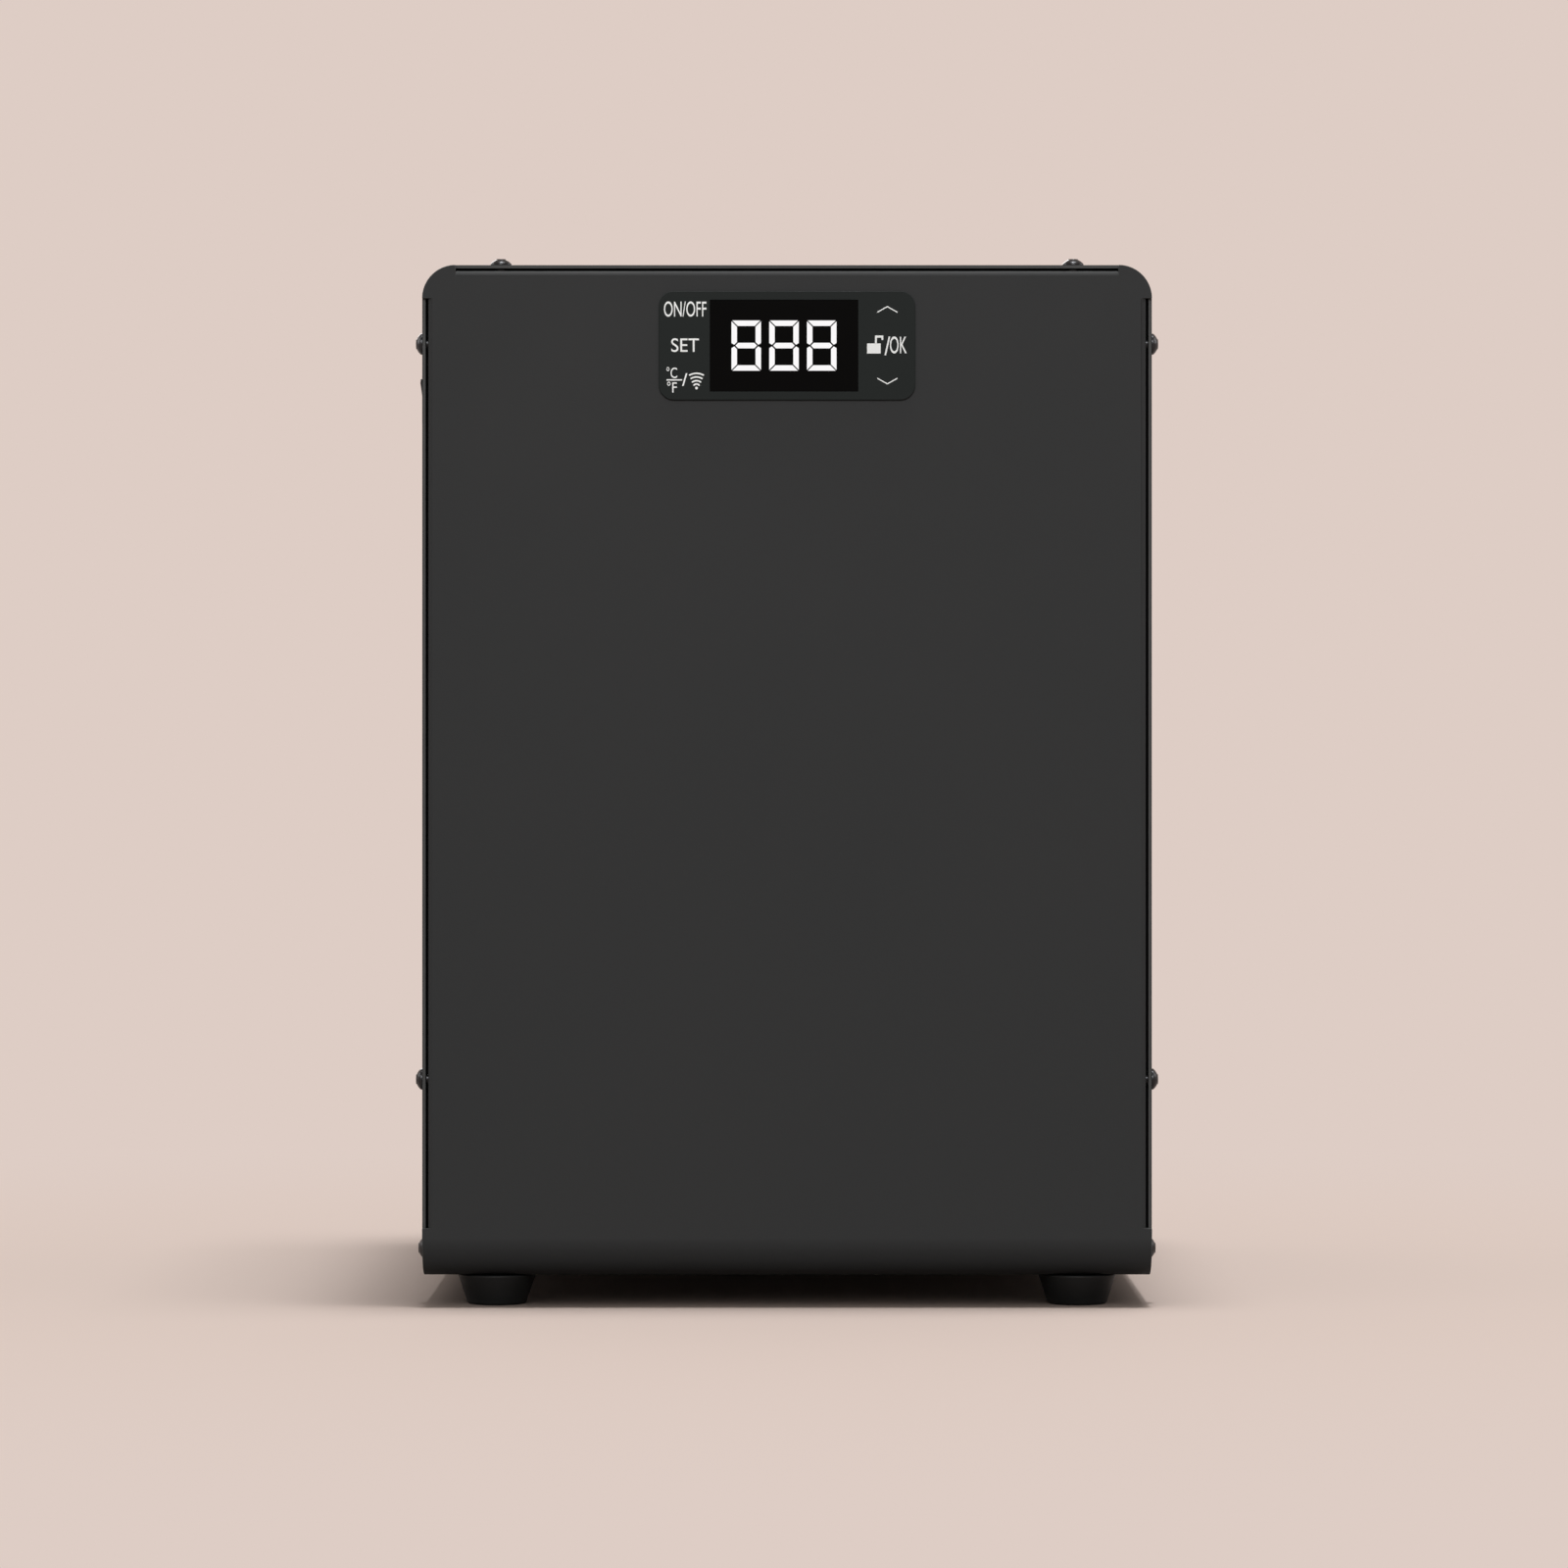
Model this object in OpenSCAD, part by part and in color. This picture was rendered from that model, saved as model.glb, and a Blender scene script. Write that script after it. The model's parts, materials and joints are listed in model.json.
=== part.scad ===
// Filament dryer box: a sheet-metal cabinet on rubber feet, with a touch control
// panel in front, a hinged lid over a chamber for spools on rollers, a fan heater
// under the chamber floor and a desiccant drawer at the back.
// Millimetres. X runs to the right, Y from front to back, Z up from the floor.

/* [Cabinet] */
// Width across the cover
body_w = 240; // [228:1:300]
// Height from the underside of the base to the top of the cover
body_h = 333; // [270:1:420]
// Depth from the front face to the rear face
body_d = 268; // [222:1:340]
// Thickness of the cabinet's sheet metal
sheet_t = 1.2; // [0.8:0.1:1.6]
// Outer radius of the cover's two top bends
cover_bend_r = 11; // [8:1:20]
// Outer radius of the bend from the front into the base
base_bend_r = 13; // [10:1:18]
// Outer radius of the small bends into the front sheet's flanges
flange_bend_r = 1.8; // [1.7:0.1:2.6]
// Dark gap between the cover's edge and the front sheet
shadow_gap = 0.7; // [0.4:0.1:1.2]
// Length of the flanges that turn back inside the cover
flange_len = 14; // [12:1:20]
// Gap between the rear panel and the cover
rear_gap = 0.3; // [0.2:0.1:0.8]
// Length of the flanges that turn forward from the rear panel
rear_flange_len = 10; // [9.8:0.1:10.5]

/* [Feet] */
// Height of a rubber foot
foot_h = 10; // [6:1:20]
// Foot diameter where it meets the base
foot_top_d = 26; // [18:0.2:32]
// Foot diameter on the floor
foot_floor_d = 20.2; // [14:0.2:26]
// From a foot's centre to the side of the cabinet
foot_from_side = 23.7; // [18:0.2:40]
// From a foot's centre to the front or rear face
foot_from_face = 19; // [17:0.5:40]

/* [Screws] */
// Head diameter of the button-head screws
button_head_d = 7; // [6:0.1:8.4]
// Head height of the button-head screws
button_head_h = 2.4; // [1.6:0.1:3]
// Thread diameter of the button-head screws
button_thread_d = 4; // [3:0.5:4]
// Length of the button-head screws under the head
button_len = 9; // [7:1:12]
// From the front face to the first row of cover screws
front_screw_back = 6; // [5.5:0.5:8]
// From the middle to each screw in the cover's top
top_screw_x = 94.3; // [60:0.1:98]
// From the top of the cover down to the upper side screws
upper_screw_drop = 25.7; // [20:0.1:60]
// From the base up to the lower side screws
lower_screw_rise = 65; // [40:0.1:90]
// From the base up to the base screws
base_screw_rise = 8.4; // [7:0.1:12]
// From the front face to the front base screws
base_screw_back = 19; // [18:1:40]

/* [Control panel] */
// Width of the touch panel
panel_w = 84.3; // [75:0.1:110]
// Height of the touch panel
panel_h = 35.7; // [34:0.1:50]
// From the top of the cover down to the touch panel
panel_drop = 8.8; // [7:0.1:40]
// Corner radius of the touch panel
panel_r = 5; // [1:0.5:8]
// How far the touch panel stands proud of the front
panel_proud = 0.8; // [0.4:0.1:2]
// Width of the display window
window_w = 48.7; // [46:0.1:60]
// Height of the display window
window_h = 30.1; // [24:0.1:31]
// Shift of the display sideways from the cabinet's middle
display_x = -1; // [-4:0.1:4]
// Width of one digit
digit_w = 9.7; // [8:0.1:11]
// Height of one digit
digit_h = 16.5; // [12:0.1:20]
// Distance from digit to digit
digit_pitch = 12.4; // [12:0.1:14]
// Thickness of a digit's bars
bar_t = 1.8; // [1.2:0.1:2.4]

/* [Power switch] */
// Length of the switch's bezel
switch_len = 17; // [13:0.5:21]
// Width of the switch's bezel
switch_wid = 10.5; // [9:0.5:11]
// From the top of the cover down to the switch
switch_drop = 43; // [36:1:80]
// From the front face back to the switch
switch_back = 26; // [24:1:28]
// Angle from one end of the rocker's travel to the other
rocker_throw = 8; // [6:1:14]

/* [Chamber] */
// Depth of the bay between the front face and the chamber
bay_d = 38; // [36:1:50]
// Height of the plinth under the chamber
plinth_h = 98; // [96:1:130]
// Thickness of the chamber's metal
tub_t = 1; // [0.8:0.1:1.5]
// Thickness of the insulation
insulation_t = 6; // [4:0.5:8]
// Space behind the chamber
rear_void = 12; // [11:1:20]
// Depth of the moulded rim between the chamber and the cover
rim_h = 8.8; // [8:0.1:12]

/* [Lid] */
// Thickness of the lid's frame
lid_t = 5; // [4:0.5:5]
// Width of the lid frame's bars
lid_bar = 24; // [22:1:34]
// Thickness of the lid's window
lid_window_t = 3; // [2:0.5:3]
// Gap round the closed lid
lid_gap = 0.6; // [0.4:0.1:1.2]
// Width of a hinge
hinge_w = 40; // [30:1:60]
// From the middle to each hinge
hinge_x = 62; // [40:1:80]
// Diameter of the hinge pins
hinge_pin_d = 3; // [2:0.5:3.5]

/* [Rollers] */
// Diameter of a roller
roller_d = 24; // [18:1:30]
// Diameter of the roller axles
axle_d = 8; // [6:0.5:10]
// Distance between the two axles
axle_spread = 100; // [80:1:120]
// Gap between neighbouring rollers
roller_gap = 7; // [5:0.5:12]
// From the chamber floor up to the axles
axle_rise = 15; // [14:1:20]

/* [Air] */
// Side of the fan's square frame
fan_size = 80; // [60:1:80]
// Depth of the fan
fan_d = 25; // [20:1:25]
// Width of the heater block
heater_w = 76; // [50:1:78]
// Height of the heater block
heater_h = 60; // [40:1:64]
// Depth of the heater block
heater_d = 16; // [10:1:20]
// Length of the duct that holds the fan and the heater
duct_len = 142; // [138:1:160]

/* [Desiccant drawer] */
// Width of the drawer
drawer_w = 48; // [40:1:52]
// Height of the drawer
drawer_h = 62; // [50:1:64]
// Depth of the drawer
drawer_d = 112; // [80:1:130]
// Thickness of the drawer's walls
drawer_wall = 1.6; // [1.2:0.1:2.4]

/* [Rear fittings] */
// Bore of a filament outlet, for a 4 mm guide tube
outlet_bore_d = 4.2; // [2.2:0.1:6.4]
// From the top of the cover down to the filament outlets
outlet_drop = 43; // [36:1:80]
// Width of a vent slot
vent_slot_w = 3.6; // [2:0.1:3.9]
// Length of a vent slot
vent_slot_l = 24; // [12:1:40]
// Distance from vent slot to vent slot
vent_pitch = 9; // [9:0.5:12]
// Number of vent slots
vent_count = 6; // [3:1:6]
// From the top of the cover down to the vent
vent_drop = 118; // [110:1:140]
// From the base up to the mains inlet
inlet_rise = 50; // [40:1:60]

/* [Hidden] */
$fn = 48;
eps = 0.01;

// Colours
sheet_black = [0.07, 0.07, 0.07];
gloss_black = [0.03, 0.03, 0.03];
soft_black = [0.02, 0.02, 0.02];
steel = [0.62, 0.62, 0.64];
brass = [0.78, 0.62, 0.3];
aluminium = [0.75, 0.76, 0.78];
board_green = [0.05, 0.28, 0.14];
foam_grey = [0.3, 0.3, 0.31];
digit_white = [0.98, 0.98, 1];

// Clearances
slip = 0.4;
sheet_fit = 0.1;
pin_fit = 0.05;
screw_fit = 0.4;

// Heights of the cabinet
base_z = foot_h;
base_top = base_z + sheet_t;
top_z = base_z + body_h;
cover_under = top_z - sheet_t;
cover_setback = sheet_t + sheet_fit;

// The origin is the middle of the bounding box, so the front face lies before it
rear_reach = 8;
front_y = -(body_d + rear_reach - panel_proud) / 2;

// Outlines of the front sheet inside the cover
flange_x = body_w / 2 - sheet_t - shadow_gap;
flange_top = cover_under - shadow_gap;
nose_h = base_bend_r + 3.2;
nose_d = base_bend_r + 2;
side_slot_top = top_z - cover_bend_r;
top_slot_x = body_w / 2 - cover_bend_r;
base_flange_h = 16;

// Outline of the rear panel inside the cover
rear_x = body_w / 2 - sheet_t - rear_gap;
rear_top = cover_under - rear_gap;
rear_r = cover_bend_r - sheet_t - rear_gap;

// Chamber
side_air = 0.8;
tub_x = body_w / 2 - sheet_t - side_air - insulation_t;
tub_front = bay_d;
tub_rear = body_d - rear_void;
tub_mid = (tub_front + tub_rear) / 2;
tub_z = base_z + plinth_h;
tub_top = cover_under - rim_h;
floor_z = tub_z + tub_t;
tub_r = 6;

// Mouth of the chamber and lid
mouth_lip_x = 12;
mouth_lip_y = 7;
mouth_x = tub_x - mouth_lip_x;
mouth_front = tub_front + mouth_lip_y;
mouth_rear = tub_rear - mouth_lip_y;
seat_w = 4;
ledge_t = 3;
gasket_t = cover_under + sheet_t - lid_t - tub_top - ledge_t;
opening_x = mouth_x + seat_w;
opening_front = mouth_front - seat_w;
opening_rear = mouth_rear + seat_w;
opening_mid = (opening_front + opening_rear) / 2;
opening_r = 5;
lid_x = opening_x - lid_gap;
lid_front = opening_front + lid_gap;
lid_rear = opening_rear - lid_gap;
lid_z = top_z - lid_t;
lid_len = lid_rear - lid_front;
window_lip = 4;

// Lid hinges
leaf_t = 1.5;
leaf_len = 11;
knuckle_r = hinge_pin_d / 2 + 1.7;
hinge_y = opening_rear;
hinge_z = top_z + knuckle_r + 0.2;
knuckle_w = hinge_w / 3;
knuckle_gap = 0.3;

// Lid pull and magnets
pull_w = 44;
pull_d = 20;
pull_wall = 1.5;
pull_lip = 5;
pull_depth = 12;
pull_y = mouth_front + 1.6 + pull_wall + pull_d / 2;
lid_front_bar = pull_y + pull_d / 2 + pull_wall + 0.5 + window_lip - lid_front;
magnet_d = 6;
magnet_t = 2.5;
lug_w = 10;
magnet_x = mouth_x - lug_w / 2;
magnet_y = mouth_front + lug_w / 2;
strike_t = 0.5;

// Rollers
tub_inner_x = tub_x - tub_t;
bracket_t = 7;
axle_half = tub_inner_x - 0.5;
axle_z = floor_z + axle_rise;
roller_run = 2 * (tub_inner_x - bracket_t);
roller_pitch = roller_run / 3;
roller_len = roller_pitch - roller_gap;
axle_r = axle_d / 2;

// Duct under the chamber
duct_wall = 1.2;
duct_x = fan_size / 2 + 6;
duct_z = tub_z - fan_size - 7;
duct_front = tub_mid - duct_len / 2;
duct_rear = duct_front + duct_len;
fan_z = (duct_z + duct_wall + tub_z) / 2;
fan_wall_y = duct_rear - 30;
fan_front = fan_wall_y - fan_d;
heater_wall_y = fan_front - 16;
heater_front = heater_wall_y - heater_d;
fan_r = fan_size / 2 - 3;
fan_hub_r = fan_size * 0.23;
fan_hole_pitch = fan_size - 8.5;
blade_count = 7;

// Boards
board_t = 1.6;
power_w = 56;
power_l = 108;
power_x = -(duct_x + 6 + power_w / 2);
power_front = tub_front + 22;
standoff_h = 8;
power_z = base_top + standoff_h;
power_top = power_z + board_t;
panel_z = top_z - panel_drop - panel_h / 2;
board_w = 96;
board_h = 52;
board_front = 17;
board_z = panel_z - 4;

// Desiccant drawer
sleeve_t = 1.2;
drawer_x = duct_x + 2 + sleeve_t + slip + drawer_w / 2;
drawer_front = body_d - drawer_d;
drawer_z = tub_z - 3 - drawer_h;
drawer_flange = 2.6;
drawer_flange_t = 3;

// Rear fittings
outlet_z = top_z - outlet_drop;
outlet_x = roller_pitch;
outlet_r = 5;
vent_z = top_z - vent_drop;
vent_travel = vent_pitch / 2;
shutter_w = (vent_count - 1) * vent_pitch + vent_slot_w + 34;
shutter_h = vent_slot_l + 12;
shutter_screw_x = shutter_w / 2 - 8;
inlet_x = power_x;
inlet_z = base_z + inlet_rise;
inlet_w = 50;
inlet_h = 44;
inlet_body_w = 27.4;
inlet_body_h = 34;
inlet_body_d = 26;

// Switch
switch_z = top_z - switch_drop;
switch_face = -body_w / 2;
bezel_proud = 1.25;
switch_body_len = switch_len - 1.2;
switch_body_wid = switch_wid - 1.6;
switch_body_d = 13;

// ---- Helpers ----

// Y counts back from the front face inside these modules
module from_front() translate([0, front_y, 0]) children();

// A flat shape in X and Z, made thick towards the back
module upright(y, thick)
    translate([0, y + thick, 0]) rotate([90, 0, 0]) linear_extrude(thick) children();

// A flat shape in Y and Z, made thick to the right
module sideways(x, thick)
    translate([x, 0, 0]) rotate([90, 0, 90]) linear_extrude(thick) children();

// A flat shape in X and Y, made thick upwards
module level(z, thick) translate([0, 0, z]) linear_extrude(thick) children();

module round_rect(w, h, r) {
    square([w - 2 * r, h], center = true);
    square([w, h - 2 * r], center = true);
    for (sx = [-1, 1], sy = [-1, 1])
        translate([sx * (w / 2 - r), sy * (h / 2 - r)]) circle(r);
}

module round_ring(w, h, r, wall) difference() {
    round_rect(w, h, r);
    round_rect(w - 2 * wall, h - 2 * wall, max(r - wall, 0.3));
}

// Rounded slot along X
module slot(len, wide) {
    square([len - wide, wide], center = true);
    for (s = [-1, 1]) translate([s * (len - wide) / 2, 0]) circle(wide / 2);
}

// Rods along each axis, from a start point towards the plus side
module rod_x(p, r, len) translate(p) rotate([0, 90, 0]) cylinder(r = r, h = len);
module rod_y(p, r, len) translate(p) rotate([-90, 0, 0]) cylinder(r = r, h = len);
module rod_z(p, r, len) translate(p) cylinder(r = r, h = len);

// Cabinet outline in X and Z, with round top corners
module cabinet_outline(inset, low) {
    half = body_w / 2 - inset;
    r = cover_bend_r - inset;
    top = top_z - inset;
    translate([-half, low]) square([2 * half, top - r - low]);
    translate([-half + r, low]) square([2 * (half - r), top - low]);
    for (s = [-1, 1]) translate([s * (half - r), top - r]) circle(r);
}

// Button-head screw pointing down, with the underside of its head at the origin
module button_screw(len = button_len) {
    rotate_extrude() difference() {
        intersection() {
            translate([0, button_head_h - head_sphere_r]) circle(head_sphere_r);
            square([button_head_d / 2, button_head_h]);
        }
        translate([-eps, button_head_h - socket_depth]) square([socket_r, button_head_h]);
    }
    translate([0, 0, -len]) cylinder(r = button_thread_d / 2 - pin_fit, h = len + eps);
}
socket_r = 1.25;
socket_depth = 1.3;
head_edge_h = 0.7;
head_sphere_r = (pow(button_head_d / 2, 2) + pow(button_head_h - head_edge_h, 2))
    / (2 * (button_head_h - head_edge_h));

// Small pan-head screw pointing down
small_head_r = 2.8;
small_head_h = 1.8;
small_thread_r = 1.45;
module pan_screw(len) {
    difference() {
        cylinder(r = small_head_r, h = small_head_h);
        for (a = [0, 90]) rotate(a)
            translate([-1.6, -0.35, small_head_h - 0.8]) cube([3.2, 0.7, 1]);
    }
    translate([0, 0, -len]) cylinder(r = small_thread_r, h = len + eps);
}

// Hexagonal nut standing on the origin
nut_w = 7;
nut_h = 3.2;
module nut() difference() {
    cylinder(r = nut_w / 2 / cos(30), h = nut_h, $fn = 6);
    translate([0, 0, -1]) cylinder(r = button_thread_d / 2, h = nut_h + 2);
}

// Places of the cover's side screws, as [distance behind the front, height]
rear_screw_back = body_d - front_screw_back;
side_screws = [
    for (y = [front_screw_back, rear_screw_back], z = [top_z - upper_screw_drop, base_z + lower_screw_rise])
        [y, z]
];
base_screws = [for (y = [base_screw_back, body_d - base_screw_back]) [y, base_z + base_screw_rise]];
top_screw_places = [
    for (x = [-top_screw_x, top_screw_x], y = [front_screw_back, rear_screw_back]) [x, y]
];
foot_places = [
    for (sx = [-1, 1], y = [foot_from_face, body_d - foot_from_face])
        [sx * (body_w / 2 - foot_from_side), y]
];

// Clearance holes for every screw through the sides, the base and the top
module side_screw_holes() for (p = concat(side_screws, base_screws))
    rod_x([-body_w, p[0], p[1]], (button_thread_d + screw_fit) / 2, 2 * body_w);
module top_screw_holes() for (p = top_screw_places)
    rod_z([p[0], p[1], flange_top - 20], (button_thread_d + screw_fit) / 2, 40);
module foot_screw_holes() for (p = foot_places)
    rod_z([p[0], p[1], -1], (button_thread_d + screw_fit) / 2, base_top + 2);

// A row of upright slots in X and Z
module slot_row(count, pitch, wide, tall) for (i = [0:count - 1])
    translate([(i - (count - 1) / 2) * pitch, 0]) rotate(90) slot(tall, wide);

// ---- Cabinet ----

// Front sheet and base in one bent piece
module front_base_panel() color(sheet_black) from_front() difference() {
    union() {
        upright(0, sheet_t) difference() {
            cabinet_outline(0, base_z + base_bend_r);
            for (s = [-1, 1]) mirror([s > 0 ? 0 : 1, 0])
                translate([flange_x - flange_bend_r, base_z + nose_h])
                    square([body_w, side_slot_top - base_z - nose_h]);
            translate([-top_slot_x, flange_top - flange_bend_r]) square([2 * top_slot_x, body_h]);
        }
        sideways(-body_w / 2, body_w) bend_profile(nose_d);
        sideways(-flange_x, 2 * flange_x) bend_profile(body_d);
        for (s = [-1, 1]) mirror([s > 0 ? 0 : 1, 0, 0]) {
            level(base_z + nose_h, side_slot_top - base_z - nose_h)
                translate([flange_x, 0]) flange_profile();
            base_flange();
        }
        rotate([0, -90, 0]) level(-top_slot_x, 2 * top_slot_x)
            translate([flange_top, 0]) flange_profile();
    }
    side_screw_holes();
    top_screw_holes();
    foot_screw_holes();
    upright(-1, sheet_t + 2) translate([display_x, panel_z])
        square([window_w + 1, window_h + 1], center = true);
    for (i = [0:base_slot_count - 1]) level(base_z - 1, sheet_t + 2)
        translate([0, duct_front - 8 + i * base_slot_pitch]) slot(base_slot_l, base_slot_w);
}
base_slot_count = 7;
base_slot_pitch = 7;
base_slot_l = 64;
base_slot_w = 3;

// Side view of the bend between the front and the base
module bend_profile(back) {
    translate([base_bend_r, base_z]) square([back - base_bend_r, sheet_t]);
    translate([base_bend_r, base_z + base_bend_r]) intersection() {
        difference() {
            circle(base_bend_r);
            circle(base_bend_r - sheet_t);
        }
        translate([-base_bend_r, -base_bend_r]) square(base_bend_r);
    }
}

// Section of a flange that turns back from the front, with its outer face at X = 0
module flange_profile() {
    translate([-sheet_t, flange_bend_r]) square([sheet_t, flange_len - flange_bend_r]);
    translate([-flange_bend_r, flange_bend_r]) intersection() {
        difference() {
            circle(flange_bend_r);
            circle(flange_bend_r - sheet_t);
        }
        translate([0, -flange_bend_r]) square(flange_bend_r);
    }
}

// Flange that turns up from the base inside the cover
module base_flange() {
    start = nose_d + 1;
    translate([flange_x - sheet_t, start, base_z])
        cube([sheet_t, body_d - flange_len - 0.5 - start, base_flange_h]);
}

// Cover: top and sides in one bent piece
module cover_shell() color(sheet_black) from_front() difference() {
    upright(cover_setback, body_d - cover_setback) difference() {
        cabinet_outline(0, base_z);
        cabinet_outline(sheet_t, base_z - 1);
    }
    sideways(-body_w, 2 * body_w) nose_cut();
    side_screw_holes();
    top_screw_holes();
    level(cover_under - 1, sheet_t + 2) translate([0, opening_mid])
        round_rect(2 * opening_x, opening_rear - opening_front, opening_r);
    translate([-body_w / 2 - 1, switch_back, switch_z]) rotate([90, 0, 90]) linear_extrude(sheet_t + 2)
        square([switch_body_wid + 0.2, switch_body_len + 0.2], center = true);
    translate([-body_w, side_vent_y, side_vent_z]) rotate([90, 0, 90]) linear_extrude(2 * body_w)
        slot_row(side_vent_count, side_vent_pitch, side_vent_w, side_vent_h);
    leaf_screw_holes();
}
side_vent_y = tub_rear - 56;
side_vent_z = base_z + 52;
side_vent_count = 9;
side_vent_pitch = 8;
side_vent_w = 3;
side_vent_h = 34;

// What the cover's sides leave free for the bend between the front and the base
module nose_cut() difference() {
    translate([0, base_z - 1]) square([nose_d + sheet_fit, base_bend_r + 1]);
    translate([base_bend_r, base_z + base_bend_r]) circle(base_bend_r - sheet_t - sheet_fit);
    translate([base_bend_r, base_top + sheet_fit]) square([base_bend_r, base_bend_r]);
}

// Outline of the rear panel in X and Z
module rear_outline(inset) {
    low = base_top + inset;
    half = rear_x - inset;
    r = rear_r - inset;
    translate([-half, low]) square([2 * half, rear_top - inset - r - low]);
    translate([-half + r, low]) square([2 * (half - r), rear_top - inset - low]);
    for (s = [-1, 1]) translate([s * (half - r), rear_top - inset - r]) circle(r);
}

// Rear panel: a pan whose flanges turn forward inside the cover
module rear_panel() color(sheet_black) from_front() difference() {
    upright(body_d - rear_flange_len, rear_flange_len) rear_outline(0);
    upright(body_d - rear_flange_len - 1, rear_flange_len + 1 - sheet_t) rear_outline(sheet_t);
    leaf_screw_holes();
    side_screw_holes();
    top_screw_holes();
    upright(body_d - 20, 30) {
        translate([drawer_x, drawer_z + drawer_h / 2])
            square([drawer_w + 2 * slip, drawer_h + 2 * slip], center = true);
        translate([inlet_x, inlet_z]) square([inlet_body_w + slip, inlet_body_h + slip], center = true);
        translate([0, vent_z]) slot_row(vent_count, vent_pitch, vent_slot_w, vent_slot_l);
        for (x = [-outlet_x, 0, outlet_x]) translate([x, outlet_z]) circle(outlet_r + 0.1);
        for (sx = [-1, 1]) translate([sx * shutter_screw_x, vent_z])
            circle((button_thread_d + screw_fit) / 2);
        for (sx = [-1, 1]) translate([inlet_x + sx * inlet_screw_x, inlet_z]) circle(small_thread_r + 0.1);
    }
}
inlet_screw_x = inlet_w / 2 - 5;

// ---- Feet and fasteners ----

module rubber_feet() color(soft_black) from_front() for (p = foot_places) translate([p[0], p[1], 0])
    rotate_extrude() foot_profile();

foot_round = 1.2;
foot_bore_r = 2.4;
foot_pocket_r = 5.2;
foot_pocket_h = 5;
module foot_profile() difference() {
    union() {
        polygon([[0, foot_round], [foot_floor_d / 2, foot_round], [foot_top_d / 2, foot_h], [0, foot_h]]);
        square([foot_floor_d / 2 - foot_round, foot_round]);
        translate([foot_floor_d / 2 - foot_round, foot_round]) intersection() {
            circle(foot_round);
            translate([0, -foot_round]) square(foot_round);
        }
    }
    translate([-1, -1]) square([foot_bore_r + 1, foot_h + 2]);
    translate([-1, -1]) square([foot_pocket_r + 1, foot_pocket_h + 1]);
}

module button_screws() color(soft_black) from_front() {
    for (p = foot_places) translate([p[0], p[1], foot_pocket_h]) mirror([0, 0, 1])
        button_screw(base_top - foot_pocket_h + nut_h + 1.6);
    for (p = top_screw_places) translate([p[0], p[1], top_z]) button_screw();
    for (sx = [-1, 1], p = concat(side_screws, base_screws))
        translate([sx * body_w / 2, p[0], p[1]]) rotate([0, sx * 90, 0]) button_screw();
    for (sx = [-1, 1]) translate([sx * shutter_screw_x, body_d + shutter_seat, vent_z])
        rotate([-90, 0, 0]) button_screw(shutter_seat + sheet_t + nut_h);
}
shutter_seat = sheet_t + 0.4;

// Nuts fixed to the flanges, one for each screw
module captive_nuts() color(steel) from_front() {
    for (p = top_screw_places) {
        inner = p[1] < body_d / 2 ? flange_top - sheet_t : rear_top - sheet_t;
        translate([p[0], p[1], inner - nut_h]) nut();
    }
    for (sx = [-1, 1], p = concat(side_screws, base_screws)) {
        inner = p[0] < body_d / 2 ? flange_x - sheet_t : rear_x - sheet_t;
        near = p[1] == base_z + base_screw_rise ? flange_x - sheet_t : inner;
        translate([sx * near, p[0], p[1]]) rotate([0, -sx * 90, 0]) nut();
    }
    for (p = foot_places) translate([p[0], p[1], base_top]) nut();
    for (sx = [-1, 1]) translate([sx * shutter_screw_x, body_d - sheet_t, vent_z])
        rotate([90, 0, 0]) nut();
}

// ---- Control panel ----

module touch_panel() color(gloss_black) from_front() upright(-panel_proud, panel_proud)
    translate([0, panel_z]) difference() {
        round_rect(panel_w, panel_h, panel_r);
        translate([display_x, 0]) square([window_w + sheet_fit, window_h + sheet_fit], center = true);
    }

// Display: its black face fills the touch panel's window, and the digits' bars stand a hair proud
digit_proud = 0.1;
module display_module() color(soft_black) from_front() translate([display_x, 0, panel_z]) {
    upright(digit_proud - panel_proud, panel_proud - digit_proud + sheet_t + eps)
        square([window_w - sheet_fit, window_h - sheet_fit], center = true);
    upright(sheet_t, board_front - sheet_t) square([window_w + 6, window_h + 2], center = true);
}

bar_gap = 0.27;
bar_tip = 0.55;
module display_digits() color(digit_white) from_front() upright(-panel_proud, digit_proud)
    translate([display_x, panel_z]) for (i = [-1:1]) translate([i * digit_pitch, 0]) {
        for (m = [0, 1]) mirror([0, m]) flat_bar();
        for (mx = [0, 1], my = [0, 1]) mirror([mx, 0]) mirror([0, my]) upright_bar();
        middle_bar();
    }

module flat_bar() polygon([
    [-digit_w / 2 + bar_gap, digit_h / 2], [digit_w / 2 - bar_gap, digit_h / 2],
    [digit_w / 2 - bar_t - bar_gap, digit_h / 2 - bar_t],
    [-digit_w / 2 + bar_t + bar_gap, digit_h / 2 - bar_t]
]);
module upright_bar() polygon([
    [-digit_w / 2, digit_h / 2 - bar_gap], [-digit_w / 2 + bar_t, digit_h / 2 - bar_t - bar_gap],
    [-digit_w / 2 + bar_t, bar_t / 2 + bar_gap],
    [-digit_w / 2 + bar_t / 2, bar_gap], [-digit_w / 2, bar_gap + bar_tip]
]);
module middle_bar() polygon([
    for (s = [-1, 1]) each [
        [s * (digit_w / 2 - bar_t / 2 - bar_gap * 1.5), 0],
        [s * (digit_w / 2 - bar_t - bar_gap * 1.5), s * bar_t / 2],
        [-s * (digit_w / 2 - bar_t - bar_gap * 1.5), s * bar_t / 2]
    ]
]);

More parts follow.
